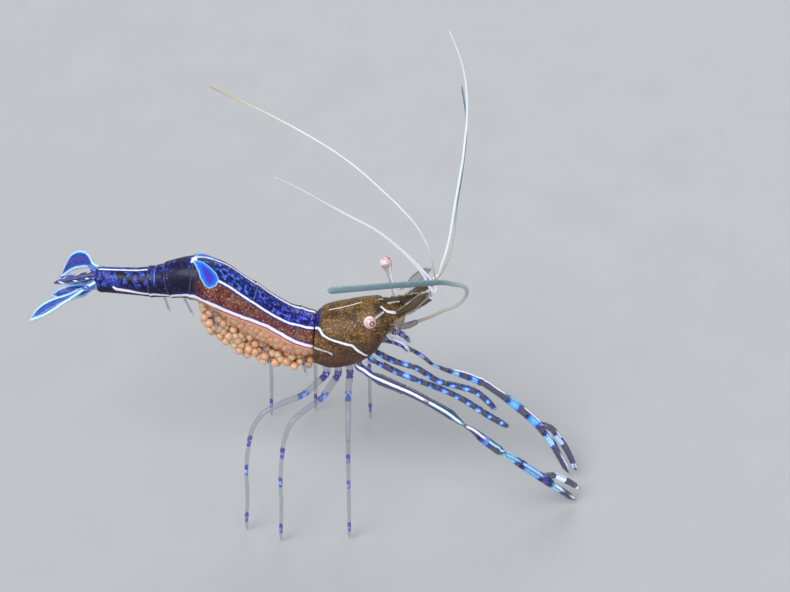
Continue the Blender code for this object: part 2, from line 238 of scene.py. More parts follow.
def cad_route(*nodes, base=None):
    """The route through one or more CAD tubes laid end to end, from the end nearer to base."""
    rings, base = [], middle_of("carapace") if base is None else base
    for node in nodes:
        rings += rings_of(node, base)
        base = rings[-1].mean(0)
    points = np.array([ring.mean(0) for ring in rings])
    radii = np.array([np.linalg.norm(ring - ring.mean(0), axis=1).mean() for ring in rings])
    kept = np.concatenate([[True], np.linalg.norm(np.diff(points, axis=0), axis=1) > JOINT_GAP])
    kept[-1] = True
    return Route(points[kept], radii[kept])


# -------- making meshes

def mesh_piece(name, points, faces, values, material, nodes=()):
    """A smooth mesh from points in millimetres, with point attributes, riding on the frame."""
    mesh = bpy.data.meshes.new(name)
    mesh.from_pydata((np.asarray(points) * MM).tolist(), [], faces)
    mesh.shade_smooth()
    for key, value in values.items():
        layer = mesh.attributes.new(key, "FLOAT", "POINT")
        layer.data.foreach_set("value", np.asarray(value, np.float32).reshape(-1))
    mesh.materials.append(material)
    piece = bpy.data.objects.new(name, mesh)
    bpy.context.scene.collection.objects.link(piece)
    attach(piece, "root")
    if nodes:
        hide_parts(*nodes)
    return piece


def grid_faces(rows, columns, closed):
    """The faces of a grid of points, whose columns may close to a ring."""
    faces = []
    for k in range(rows - 1):
        for j in range(columns if closed else columns - 1):
            n = (j + 1) % columns
            faces.append((k * columns + j, k * columns + n, (k + 1) * columns + n, (k + 1) * columns + j))
    return faces


def tube_faces(rows, columns):
    """The faces of a ring grid and of the caps at its two ends."""
    ends = [tuple(range(columns - 1, -1, -1)), tuple(range((rows - 1) * columns, rows * columns))]
    return grid_faces(rows, columns, True) + ends


def ball(subdivisions):
    """The points and faces of a ball of radius 1."""
    mesh = bmesh.new()
    bmesh.ops.create_icosphere(mesh, subdivisions=subdivisions, radius=1.0)
    points = np.array([tuple(vertex.co) for vertex in mesh.verts])
    faces = [tuple(vertex.index for vertex in face.verts) for face in mesh.faces]
    mesh.free()
    return points, faces


# -------- materials

class Shade:
    """A material under construction. Places in its textures are in millimetres."""

    def __init__(self, name, **sockets):
        self.material = bpy.data.materials.new(name)
        self.material.use_nodes = True
        self.tree = self.material.node_tree
        self.bsdf = self.tree.nodes["Principled BSDF"]
        for key, value in sockets.items():
            self.bsdf.inputs[key.replace("_", " ")].default_value = value
        place = self.tree.nodes.new("ShaderNodeTexCoord").outputs["Object"]
        self.place = self.vectors("SCALE", place, 1 / MM)

    def node(self, kind, inputs, out=0, **settings):
        node = self.tree.nodes.new(kind)
        for key, value in settings.items():
            setattr(node, key, value)
        for key, value in inputs.items():
            if isinstance(value, bpy.types.NodeSocket):
                self.tree.links.new(value, node.inputs[key])
            else:
                node.inputs[key].default_value = value
        return node.outputs[out]

    def math(self, operation, a, b=0.0, clamp=False):
        return self.node("ShaderNodeMath", {0: a, 1: b}, operation=operation, use_clamp=clamp)

    def vectors(self, operation, a, b):
        """Vector a with a vector b added to it or multiplied with it, or scaled by a number b."""
        key = "Scale" if operation == "SCALE" else 1
        return self.node("ShaderNodeVectorMath", {0: a, key: b}, operation=operation)

    def value(self, name):
        return self.node("ShaderNodeAttribute", {}, out="Fac", attribute_name=name)

    def noise(self, size, detail=3.0, at=None):
        return self.node("ShaderNodeTexNoise", {"Vector": at or self.place, "Scale": 1 / size,
                                                "Detail": detail, "Roughness": 0.55})

    def cells(self, size, feature="F1", jitter=1.0, at=None):
        return self.node("ShaderNodeTexVoronoi", {"Vector": at or self.place, "Scale": 1 / size,
                                                  "Randomness": jitter}, out="Distance", feature=feature)

    def blots(self, size, low, high, detail=3.0, at=None):
        """Noise of a size, gone from 0 at low to 1 at high."""
        return self.step(self.noise(size, detail, at), low, high)

    def dots(self, size, low, high):
        """The distance from the middles of cells of a size, gone from 0 at low to 1 at high."""
        return self.step(self.cells(size), low, high)

    def warped(self, size, amount):
        """Places shifted by noise of a size, by up to about half an amount, so that cells look grown."""
        drift = self.node("ShaderNodeTexNoise", {"Vector": self.place, "Scale": 1 / size}, out=1)
        return self.vectors("ADD", self.place, self.vectors("SCALE", drift, amount))

    def step(self, value, low, high):
        """Rises smoothly from 0 at low to 1 at high."""
        return self.node("ShaderNodeMapRange", {"Value": value, "From Min": low, "From Max": high},
                         interpolation_type="SMOOTHSTEP")

    def wander(self, value, size, amount):
        """A value made uneven by noise of a size, by up to an amount either way."""
        rough = self.math("MULTIPLY_ADD", self.noise(size, 2.0), 2 * amount)
        rough.node.inputs[2].default_value = -amount
        return self.math("ADD", value, rough)

    def stripe(self, value, half, soft=0.03):
        """1 where a distance is under half, with a soft edge."""
        return self.step(self.math("ABSOLUTE", value), half + soft, half - soft)

    def both(self, a, b):
        return self.math("MULTIPLY", a, b, clamp=True)

    def either(self, a, b):
        return self.math("MAXIMUM", a, b)

    def mix(self, factor, a, b):
        """Colour a, going over to colour b by factor."""
        a, b = ((*colour, 1.0) if isinstance(colour, tuple) else colour for colour in (a, b))
        return self.node("ShaderNodeMix", {0: factor, 6: a, 7: b}, out=2, data_type="RGBA")

    def layers(self, colour, *laid):
        """A colour with others laid over it in turn, each as (mask, colour) or (mask, colour, strength)."""
        for mask, tint, *strength in laid:
            colour = self.mix(self.both(mask, *strength) if strength else mask, colour, tint)
        return colour

    def lines(self, colour, size, halo, strength, drawn):
        """A colour with painted lines on halos over it, each as (name, half width, halo's half, paint)."""
        for name, half, wide, paint in drawn:
            gap = self.wander(self.value(name), size, 0.03)
            colour = self.layers(colour, (self.stripe(gap, wide, 0.08), halo, strength),
                                 (self.stripe(gap, half), paint))
        return colour

    def blend(self, factor, a, b):
        """Number a, going over to number b by factor."""
        return self.node("ShaderNodeMix", {0: factor, 2: a, 3: b})

    def ramp(self, value, stops):
        """Colours and alphas along a value, as (place, colour, alpha) stops."""
        node = self.tree.nodes.new("ShaderNodeValToRGB")
        ramp = node.color_ramp
        while len(ramp.elements) < len(stops):
            ramp.elements.new(1.0)
        for element, (at, colour, alpha) in zip(ramp.elements, stops):
            element.position = at
            element.color = (*colour, alpha)
        self.tree.links.new(value, node.inputs[0])
        return node.outputs[0], node.outputs[1]

    def soften(self, weight, *radii):
        """Lets light through under the surface, by a distance for red, green and blue."""
        for key, value in (("Radius", [MM * radius for radius in radii]), ("Scale", 1.0), ("Weight", weight)):
            self.bsdf.inputs["Subsurface " + key].default_value = value

    def finish(self, colour, alpha=None, rough=None, height=None, depth=0.006):
        for key, value in (("Base Color", colour), ("Alpha", alpha), ("Roughness", rough)):
            if value is not None:
                self.tree.links.new(value, self.bsdf.inputs[key])
        if height is not None:
            bump = self.node("ShaderNodeBump", {"Height": height, "Distance": depth * MM, "Strength": 1.0},
                             out="Normal")
            self.tree.links.new(bump, self.bsdf.inputs["Normal"])
        return self.material


NAVY = (0.006, 0.008, 0.035)
ROYAL = (0.012, 0.05, 0.42)
CYAN = (0.25, 0.62, 0.85)
VIOLET = (0.09, 0.02, 0.26)
MAGENTA = (0.28, 0.05, 0.30)
INK = (0.004, 0.004, 0.012)
WHITE = (0.86, 0.87, 0.92)
SPARK = (0.7, 0.92, 1.0)
SALMON = (0.84, 0.40, 0.25)
SMOKE = (0.02, 0.022, 0.05)


# -------- the trunk's surface and its markings

BELLY = 0.75  # the power of a round belly's height that makes it fuller


def skin(trunk, along, angle, lift):
    """Points on the trunk's surface, fuller than round below, at angles from its top and raised by lift."""
    middle, up, width, top, depth = trunk.at(along)
    level = np.cos(angle)
    side = (width + lift) * np.sin(angle)
    height = np.where(level > 0, (top + lift) * level, -(depth + lift) * np.abs(level) ** BELLY)
    return middle + up * height[..., None] + np.array([0, 1, 0]) * side[..., None]


def girth(trunk, along):
    """Millimetres per radian around the trunk."""
    _, _, width, top, _ = trunk.at(along)
    return (width + top) / 2


def path_gap(along, arc, path):
    """Distance from places on the unrolled skin to a path of points on it."""
    best = np.full(np.shape(along), 1e9)
    for (a0, b0), (a1, b1) in zip(path, path[1:]):
        da, db = a1 - a0, b1 - b0
        share = np.clip(((along - a0) * da + (arc - b0) * db) / max(da * da + db * db, 1e-9), 0, 1)
        best = np.minimum(best, np.hypot(along - a0 - share * da, arc - b0 - share * db))
    return best


def inside(along, arc, outline):
    """Whether places lie within a closed outline."""
    odd = np.zeros(np.shape(along), bool)
    for (a0, b0), (a1, b1) in zip(outline, outline[1:] + outline[:1]):
        crosses = (b0 > arc) != (b1 > arc)
        odd ^= crosses & (along < a0 + (arc - b0) * (a1 - a0) / ((b1 - b0) or 1e-9))
    return odd


# The lines on the abdomen, in segments from the waist and degrees from the top.
ABDOMEN_MARKS = {
    "dorsal": [(-0.05, 33), (1.0, 32), (2.0, 34), (2.45, 36), (2.66, 38)],
    "left": [(-0.05, 18), (1.0, 17), (2.0, 19), (2.6, 18), (2.9, 12), (3.14, 5)],
    "apex": [(3.11, 0), (3.14, 7)],
    "flank": [(-0.05, 77), (0.5, 71), (1.0, 67), (1.3, 61), (1.6, 60), (1.9, 66), (2.1, 73), (2.25, 79),
              (2.4, 85), (2.6, 93), (2.8, 99), (3.2, 102), (3.6, 106), (4.1, 110), (4.4, 109), (4.8, 104),
              (5.1, 102), (5.35, 97), (5.62, 92), (5.66, 85)],
    "wedge": [(3.14, 6), (3.02, 22), (2.91, 48), (2.82, 60), (2.74, 62), (2.66, 50), (2.65, 36), (2.72, 25),
              (2.80, 18), (2.92, 10)],
    "last": [(5.07, 0), (5.93, 0)],
    "bar": [(4.72, 6), (4.78, 66)],
}
# The lines on the carapace, in millimetres from its rear edge and degrees from the top.
CARAPACE_MARKS = {
    "side": [(-0.25, 31), (0.2, 35), (0.5, 43), (0.7, 51), (1.15, 60), (1.95, 73), (2.6, 86), (2.95, 105),
             (3.1, 122)],
    "top": [(1.3, 0), (3.8, 0)],
    "brow": [(5.1, 22), (5.25, 29), (5.45, 34), (5.68, 43)],
    "crown": [(5.42, 9), (5.6, 5), (5.92, 8)],
    "low": [(-0.25, 74), (0.4, 82), (1.1, 92)],
}


def on_skin(trunk, marks):
    """A path of marks as (distance along, arc) in millimetres."""
    along = np.array([mark[0] for mark in marks], float)
    if trunk is abdomen:
        along = np.interp(along, range(len(SEGMENT_KNOTS)), SEGMENT_KNOTS)
    arc = np.radians([mark[1] for mark in marks]) * girth(trunk, along)
    return list(zip(along.tolist(), arc.tolist()))


FLANK_PATH = np.array(on_skin(abdomen, ABDOMEN_MARKS["flank"])).T


def marked(trunk, along, angle):
    """The distances to the markings that the abdomen's and carapace's materials read."""
    arc, left = np.abs(angle) * girth(trunk, along), angle > 0
    marks = ABDOMEN_MARKS if trunk is abdomen else CARAPACE_MARKS
    paths = {name: on_skin(trunk, places) for name, places in marks.items()}
    values = {name: path_gap(along, arc, path) for name, path in paths.items()}
    values.update(around=arc, along=along)
    if trunk is thorax:
        values["side"] *= np.interp(along, (0.2, 0.45, 0.8, 1.2, 2.3, 3.0), (1.0, 0.65, 1.1, 1.2, 0.8, 1.0))
        # Over the eyes: the left mark lies nearer to the rostrum than the right one.
        values["brow"] = np.where(left, values.pop("crown"), values["brow"])
        return values
    below = {name: arc - np.interp(along, *np.array(paths[name]).T) for name in ("dorsal", "left", "flank")}
    segment = np.interp(along, SEGMENT_KNOTS, range(len(SEGMENT_KNOTS)))
    # The pattern is turned a little to the right: the left line is nearer to the top, and broader.
    upper = np.where(left, values.pop("left") * np.interp(segment, (2.1, 2.9), (0.58, 1.1)), values["dorsal"])
    lowered = np.where(left, 0.8, 1.0) * arc
    wedge = path_gap(along, lowered, paths["wedge"] + paths["wedge"][:1])
    values["dorsal"] = np.minimum(upper, 0.6 * values.pop("apex"))
    values["flank"] *= np.interp(segment, (2.2, 2.8, 3.8, 4.8), (1.0, 0.72, 0.8, 1.25))
    values["wedge"] = np.where(inside(along, lowered, paths["wedge"]), -wedge, wedge)
    values["below_dorsal"] = np.where(left, below["left"], below["dorsal"])
    values["below_flank"] = below["flank"]
    values["segment"] = segment
    return values


# -------- the trunk's pieces

def eased(x):
    x = np.clip(x, 0, 1)
    return x * x * (3 - 2 * x)


PLATE = 0.05  # the thickness of a shell plate
STEP = 0.07  # the distance between a plate's points
CORE_STEP = 0.12  # the distance between the rings of the flesh


def plate(name, trunk, start, end, reach, material, nodes, narrow, lip=0.05, tuck=0.06, back=None):
    """A shell plate over the trunk. reach gives its lower edge, in radians from the top, along its length.

    It is tucked in at its start, and at its end it stands out as a lip or draws in by narrow. back gives
    how far that end falls back, by the share of the way from its top to its lower edge.
    """
    rows = int((end - start) / STEP) + 2
    columns = 2 * int(reach(0.5) * girth(trunk, (start + end) / 2) / STEP) + 1
    u = np.linspace(0, 1, rows)[:, None]
    v = np.linspace(-1, 1, columns)[None, :]
    along = start + u * (end - start - (back(np.abs(v)) if back else 0 * v))
    lower = np.array([reach(float(share)) for share in u[:, 0]])[:, None]
    angle = v * lower
    lift = lip * eased((u - 0.8) / 0.2) - tuck * (1 - eased(u / 0.12)) + 0 * v
    points = skin(trunk, along, angle, lift - narrow * eased((u - 0.86) / 0.14) ** 2)
    values = marked(trunk, along, angle)
    values["rim"] = np.minimum(end - along, (1 - np.abs(v)) * lower * girth(trunk, along))
    piece = mesh_piece(name, points.reshape(-1, 3), grid_faces(rows, columns, False), values, material,
                       nodes)
    solid = piece.modifiers.new("thickness", "SOLIDIFY")
    solid.thickness, solid.offset = PLATE * MM, -1


def body_core(name, trunk, start, end, lift, material):
    """The closed flesh under the plates."""
    rows, columns = int((end - start) / CORE_STEP), 72
    along = np.linspace(start, end, rows)[:, None] + np.zeros(columns)
    angle = np.linspace(-math.pi, math.pi, columns, endpoint=False)[None, :] + 0 * along
    points = skin(trunk, along, angle, lift(along, np.abs(angle))).reshape(-1, 3)
    mesh_piece(name, points, tube_faces(rows, columns), {}, material)


def abdomen_shell():
    """Navy cells above the upper white line, rust between the lines, clear below, near black to the rear."""
    s = Shade("abdomen shell", Coat_Weight=0.08, Coat_Roughness=0.12, Specular_IOR_Level=0.2, IOR=1.45)
    segment, above, under = s.value("segment"), s.value("below_dorsal"), s.value("below_flank")
    rim, around = s.value("rim"), s.value("around")
    grown = s.warped(0.4, 0.45)
    veins = s.step(s.cells(0.42, "DISTANCE_TO_EDGE", at=grown), 0.24, 0.05)
    strength = s.math("ADD", s.both(veins, 0.6), s.both(s.blots(0.28, 0.42, 0.62, 2.0), 0.65))
    to_rear = s.step(s.wander(segment, 0.6, 0.3), 1.2, 2.6)
    deep = s.mix(to_rear, (0.01, 0.014, 0.24), (0.004, 0.03, 0.24))
    vivid = s.mix(s.noise(0.35), s.mix(to_rear, (0.04, 0.06, 0.58), (0.02, 0.16, 0.62)), (0.12, 0.11, 0.62))
    navy = s.layers(NAVY, (s.step(strength, 0.35, 0.75), deep), (s.step(strength, 0.7, 1.2), vivid),
                    (s.both(s.dots(0.13, 0.35, 0.15), s.step(strength, 0.8, 1.1)), (0.36, 0.5, 0.9), 0.8))
    rust = s.layers((0.11, 0.018, 0.022), (s.blots(0.4, 0.35, 0.65, 4.0), (0.30, 0.075, 0.035)),
                    (s.blots(0.7, 0.5, 0.66), (0.34, 0.19, 0.12), 0.7),
                    (s.both(s.dots(0.15, 0.42, 0.18), s.blots(0.3, 0.38, 0.52)), (0.60, 0.40, 0.29)),
                    (s.dots(0.11, 0.2, 0.6), (0.03, 0.008, 0.016), 0.6))
    field = s.layers(navy, (s.step(s.wander(above, 0.3, 0.12), 0.0, 0.25), rust),
                     (s.step(s.wander(under, 0.3, 0.1), 0.0, 0.2), SALMON))
    # The rear is near black, with blue clouds in a row along the top and scattered ones elsewhere.
    row = s.both(s.stripe(s.wander(around, 0.3, 0.12), 1.25, 0.2), s.step(segment, 4.7, 5.1))
    edge = s.both(s.stripe(s.wander(around, 0.3, 0.15), 0.6, 0.25), s.step(segment, 3.4, 3.6))
    spaced = s.math("SUBTRACT", s.wander(s.cells(0.42, at=grown), 0.2, 0.15),
                    s.both(s.step(segment, 5.5, 5.75), 0.2))
    clouds = s.both(s.step(spaced, 0.56, 0.3),
                    s.either(s.either(row, edge), s.both(s.blots(0.8, 0.55, 0.62), 0.6)))
    dark = s.layers(INK, (s.blots(0.5, 0.3, 0.7), (0.012, 0.01, 0.05)),
                    (clouds, s.mix(s.noise(0.25), (0.01, 0.05, 0.34), (0.045, 0.03, 0.32))),
                    (s.both(clouds, s.dots(0.13, 0.4, 0.15)), (0.08, 0.3, 0.75)),
                    (s.both(s.dots(0.16, 0.2, 0.1), s.blots(0.3, 0.55, 0.65)), CYAN))
    # Painted shade: a dark line a little inside each plate's rear and lower edges darkens the colour as a
    # groove's shade would, though the plate's shape has no groove.
    groove = s.stripe(s.math("SUBTRACT", rim, 0.12), 0.03)
    colour = s.layers(field, (s.step(s.wander(segment, 0.5, 0.08), 2.75, 3.05), dark),
                      (s.step(rim, 0.07, 0.02), (0.35, 0.38, 0.6), 0.22), (groove, (0.01, 0.008, 0.02), 0.35))
    colour = s.lines(colour, 0.25, (0.008, 0.02, 0.2), 0.85, (
        ("dorsal", 0.07, 0.17, WHITE), ("flank", 0.1, 0.2, (0.90, 0.78, 0.80)), ("last", 0.055, 0.17, WHITE),
        ("bar", 0.03, 0.13, (0.3, 0.4, 0.8))))
    wedge = s.wander(s.value("wedge"), 0.25, 0.03)
    fill = s.mix(s.step(s.wander(wedge, 0.3, 0.06), -0.1, -0.32), (0.014, 0.15, 0.72), (0.05, 0.035, 0.5))
    outline = s.mix(s.noise(0.5), (0.08, 0.4, 0.88), (0.42, 0.72, 0.92))
    colour = s.layers(colour, (s.step(wedge, 0.0, -0.04), fill), (s.stripe(wedge, 0.035), outline))
    white = s.either(s.stripe(s.value("dorsal"), 0.15), s.stripe(s.value("flank"), 0.2))
    clear = s.both(s.step(under, 0.1, 0.5), s.step(segment, 3.3, 2.9))
    clear = s.both(clear, s.math("SUBTRACT", 1.0, white))
    alpha = s.either(s.blend(clear, 1.0, 0.13), s.both(s.step(rim, 0.09, 0.03), 0.45))
    grains = s.math("ADD", s.cells(0.11), s.noise(0.05))
    return s.finish(colour, alpha, s.blend(s.noise(0.4), 0.3, 0.5), grains)


def carapace_shell():
    """Olive brown grains over pinkish flesh, with the side line, the thin top line and the brow marks."""
    s = Shade("carapace shell", Coat_Weight=0.08, Coat_Roughness=0.2, Specular_IOR_Level=0.18, IOR=1.45)
    along, around = s.value("along"), s.value("around")
    elsewhere = s.vectors("ADD", s.place, (5.0, 3.0, 9.0))
    ground = s.layers((0.075, 0.045, 0.018), (s.blots(0.7, 0.38, 0.62, 5.0), (0.36, 0.20, 0.07)),
                      (s.blots(1.3, 0.5, 0.7), (0.36, 0.21, 0.07), 0.7),
                      (s.both(s.blots(0.45, 0.42, 0.55), s.dots(0.18, 0.5, 0.2)), (0.55, 0.24, 0.14), 0.8),
                      (s.both(s.blots(0.6, 0.5, 0.62, at=elsewhere), s.dots(0.15, 0.4, 0.15)),
                       (0.24, 0.25, 0.09), 0.6),
                      (s.dots(0.14, 0.15, 0.55), (0.032, 0.02, 0.008), 0.72))
    navy = s.mix(s.step(s.cells(0.42, "DISTANCE_TO_EDGE"), 0.13, 0.02), NAVY, ROYAL)
    rear = s.both(s.step(s.wander(along, 0.5, 0.2), 0.5, 0.1), s.step(s.wander(around, 0.5, 0.2), 1.4, 1.1))
    low = s.both(s.step(s.wander(around, 0.6, 0.3), 2.4, 3.6), 0.65)
    colour = s.layers(ground, (rear, navy), (low, (0.07, 0.03, 0.028)))
    colour = s.lines(colour, 0.3, (0.01, 0.015, 0.1), 0.6, (
        ("side", 0.075, 0.17, (0.84, 0.84, 0.76)), ("top", 0.04, 0.1, (0.75, 0.66, 0.45)),
        ("brow", 0.09, 0.14, WHITE), ("low", 0.055, 0.14, (0.6, 0.5, 0.36))))
    colour = s.layers(colour, (s.step(s.value("rim"), 0.07, 0.03), (0.6, 0.5, 0.42), 0.5))
    grains = s.math("ADD", s.cells(0.13), s.noise(0.05))
    return s.finish(colour, None, s.blend(s.noise(0.4), 0.42, 0.6), grains)


def flesh(name, dark, pale):
    """The dark, moist flesh seen through the clear plates and underneath."""
    s = Shade(name, Roughness=0.4, Coat_Weight=0.4, Coat_Roughness=0.15)
    s.soften(0.3, 0.4, 0.12, 0.06)
    colour = s.layers(s.mix(s.noise(0.5, 4.0), dark, pale),
                      (s.dots(0.15, 0.45, 0.2), tuple(0.4 * c for c in dark), 0.6))
    return s.finish(colour, None, None, s.noise(0.12, 4.0), 0.01)


def lobe(low, rise):
    """The lower edge of a plate's side lobe, in degrees: rounded corners, deepest in the middle."""
    return lambda share: math.radians(low + rise * (1 - abs(2 * share - 1) ** 3))


def carapace_edge(share):
    """The carapace's lower edge: rounded behind, deep along the gills, rising towards the eyes."""
    return math.radians(118 + 26 * eased(share / 0.25) - 50 * eased((share - 0.62) / 0.38))


def carapace_front(v):
    """How far its front edge falls back: hollow behind the eye, with a spine below the hollow."""
    orbit, spine = np.exp(-((v - 0.34) / 0.12) ** 2), np.exp(-((v - 0.56) / 0.05) ** 2)
    return 0.3 * orbit - 0.3 * spine + 1.1 * eased((v - 0.3) / 0.7)


def abdomen_core(along, angle):
    """How the abdomen's flesh lies under its plates: drawn in above the eggs and towards its tail end."""
    return (-0.12 - 0.4 * eased((angle - 1.0) / 0.6) * (along < SEGMENT_KNOTS[3] + 0.5)
            - 0.35 * eased((along - abdomen.length + 0.5) / 0.45) ** 2)


def thorax_core(along, _):
    """How the thorax's flesh lies under the carapace: drawn in behind the eyes."""
    return -0.1 - 0.45 * eased(along - thorax.length + 1.0) ** 2


SHELL = abdomen_shell()
# How low each plate's side lobes reach at their corners, in degrees, and how much lower in the middle.
LOBES = [(126, 14), (126, 20), (124, 18), (122, 16), (120, 14), (150, 6)]
for segment, (low, rise), begin, finish in zip(SEGMENTS, LOBES, SEGMENT_KNOTS, SEGMENT_KNOTS[1:]):
    last = segment == SEGMENTS[-1]
    plate(segment.replace("_", "_plate_"), abdomen, max(0.0, begin - 0.05), finish + (0.02 if last else 0.22),
          lobe(low, rise), SHELL, [segment], narrow=0.22 if last else 0.0)
plate("carapace_plate", thorax, -0.22, thorax.length - 0.2, carapace_edge, carapace_shell(),
      ["carapace", "head"], lip=-0.02, tuck=-0.05, narrow=0.25, back=carapace_front)
body_core("abdomen_flesh", abdomen, 0.02, abdomen.length - 0.05, abdomen_core,
          flesh("flesh", (0.10, 0.015, 0.02), (0.42, 0.13, 0.08)))
body_core("thorax_flesh", thorax, 0.05, thorax.length - 0.06, thorax_core,
          flesh("face", (0.16, 0.09, 0.05), (0.42, 0.26, 0.16)))


# -------- eggs

EGG = 0.3  # the radius of an egg
EGG_GAP = 0.34  # the least distance between the middles of two eggs
EGG_SUNK = 0.13  # how deep the outer eggs lie under the CAD mass's surface
BED_DEPTH = 0.82 * EGG  # how deep the bed that fills the gaps between the eggs lies under it
MASS_TRIES, FLANK_TRIES = 16000, 9000  # places tried on the egg mass and on the abdomen's flanks
EGGS_TRIM, BED_TRIM = 0.75, 0.6  # how far the eggs and the bed stay from the mass's end at the tail


def egg_material():
    s = Shade("eggs", Roughness=0.3, Coat_Weight=0.3, Coat_Roughness=0.15)
    s.soften(0.7, 0.7, 0.28, 0.13)
    colour = s.layers(s.mix(s.value("tone"), (0.60, 0.31, 0.18), (0.68, 0.41, 0.25)),
                      (s.blots(0.2, 0.5, 0.7), (0.78, 0.56, 0.4), 0.5))
    return s.finish(colour, None, None, s.noise(0.1))


def scattered(candidates, gap):
    """Places picked in turn that keep a gap from those picked before."""
    grid, kept, steps = {}, [], (-1, 0, 1)
    for point in candidates:
        x, y, z = (int(math.floor(c / gap)) for c in point)
        near = [grid.get((x + i, y + j, z + k), ()) for i in steps for j in steps for k in steps]
        if all((point - other).length >= gap for cell in near for other in cell):
            grid.setdefault((x, y, z), []).append(point)
            kept.append(point)
    return kept


def egg_places(points, faces):
    """Candidates over and under the egg mass's surface and on the abdomen's flanks, in random order."""
    crosses = crosses_of(points, faces)
    normals, areas, found = unit(crosses), np.linalg.norm(crosses, axis=1), []
    for k in dice.choices(range(len(faces)), weights=areas.tolist(), k=MASS_TRIES):
        a, b = sorted((dice.random(), dice.random()))
        corners = points[faces[k]]
        spot = corners[0] * a + corners[1] * (b - a) + corners[2] * (1 - b)
        deeper = max(0.0, dice.uniform(-0.6, 0.5))
        out = -EGG - EGG_SUNK - deeper if normals[k][2] < 0.1 else dice.uniform(-0.5, 0.7)
        found.append(Vector(spot + normals[k] * out))
    for _ in range(FLANK_TRIES):
        along = dice.uniform(0.1, SEGMENT_KNOTS[3] - 0.2)
        angle = math.radians(dice.uniform(72, 178)) * dice.choice((-1, 1))
        if abs(angle) * girth(abdomen, along) > np.interp(along, *FLANK_PATH) + 0.1:
            found.append(Vector(skin(abdomen, np.array([along]), np.array([angle]), -EGG - 0.07)[0]))
    dice.shuffle(found)
    end = points[:, 0].min() + EGGS_TRIM
    return [spot for spot in found if spot.x > end]


def egg_cluster():
    """The eggs and the bed under them, which hides the inside of the mass."""
    shell, shell_faces = ball(2)
    mass, mass_faces = welded("egg_mass")
    points, faces, tones = [], [], []
    for spot in scattered(egg_places(mass, mass_faces), EGG_GAP):
        size = EGG * dice.uniform(0.9, 1.06)
        start, tone = len(tones), dice.random()
        points.append(np.array(spot) + shell * size)
        faces += [tuple(start + k for k in face) for face in shell_faces]
        tones += [tone] * len(shell)
    paint = egg_material()
    mesh_piece("eggs", np.concatenate(points), faces, {"tone": tones}, paint, ["egg_mass"])
    normals, crosses = np.zeros_like(mass), crosses_of(mass, mass_faces)
    for k in range(3):
        np.add.at(normals, mass_faces[:, k], crosses)
    normals = unit(normals)
    mass = mass - normals * BED_DEPTH * (normals[:, 2:] < 0.3)
    mass[:, 0] = np.maximum(mass[:, 0], mass[:, 0].min() + BED_TRIM)
    mesh_piece("egg_bed", mass, mass_faces.tolist(), {"tone": np.full(len(mass), 0.1)}, paint)


egg_cluster()


# -------- limbs

def bands(stretches, soft=0.012):
    """Ramp stops for stretches given as (start, end, colour), with nothing painted between them."""
    stops = []
    for start, end, colour in stretches:
        stops += [(start - soft, colour, 0.0), (start + soft, colour, 1.0), (end - soft, colour, 1.0),
                  (end + soft, colour, 0.0)]
    return [(min(max(at, 0.0), 1.0), colour, alpha) for at, colour, alpha in stops]


CLEAR = 0.6  # how much of the light a limb's bare shell stops


def limb_shade(name):
    return Shade(name, Coat_Weight=0.6, Coat_Roughness=0.08, IOR=1.4)


def limb_finish(s, colour, shown, clear):
    """A moist, smooth limb that is painted where shown and otherwise clear."""
    alpha, rough = s.blend(shown, clear, 1.0), s.blend(s.noise(0.3), 0.15, 0.35)
    return s.finish(colour, alpha, rough, s.noise(0.06), 0.004)


def limb_shell(name, patches, line=(), ridge=0.055, clear=CLEAR, ground=(SMOKE, (0.012, 0.02, 0.10))):
    """A clear, smoky limb with stippled patches on its sides and a painted line along its ridge.

    Both are given as (start, end, colour) stretches, in shares of its length.
    """
    s = limb_shade(name)
    t, over = s.value("t"), s.value("over")
    paint, mask = s.ramp(s.wander(s.wander(t, 0.25, 0.012), 0.09, 0.008), bands(patches))
    sideways = s.step(s.wander(over, 0.25, 0.1), 0.0, 0.16)
    strength = s.math("ADD", s.both(mask, sideways), s.math("MULTIPLY", s.noise(0.1), 0.5))
    colour = s.layers(s.mix(s.noise(0.5), *ground), (s.step(strength, 0.45, 0.7), (0.02, 0.05, 0.5)),
                      (s.step(strength, 0.75, 1.0), paint),
                      (s.both(s.step(strength, 1.0, 1.25), s.dots(0.08, 0.5, 0.2)), SPARK, 0.85))
    shown = s.step(strength, 0.4, 0.7)
    if line:
        tint, drawn = s.ramp(s.wander(t, 0.2, 0.006), bands(line))
        near = s.both(drawn, s.stripe(s.wander(over, 0.2, 0.03), ridge + 0.07, 0.05))
        drawn = s.both(drawn, s.stripe(s.wander(over, 0.2, 0.02), ridge))
        colour = s.layers(colour, (near, (0.01, 0.04, 0.3), 0.8), (drawn, tint))
        shown = s.either(shown, near)
    return limb_finish(s, colour, shown, clear)


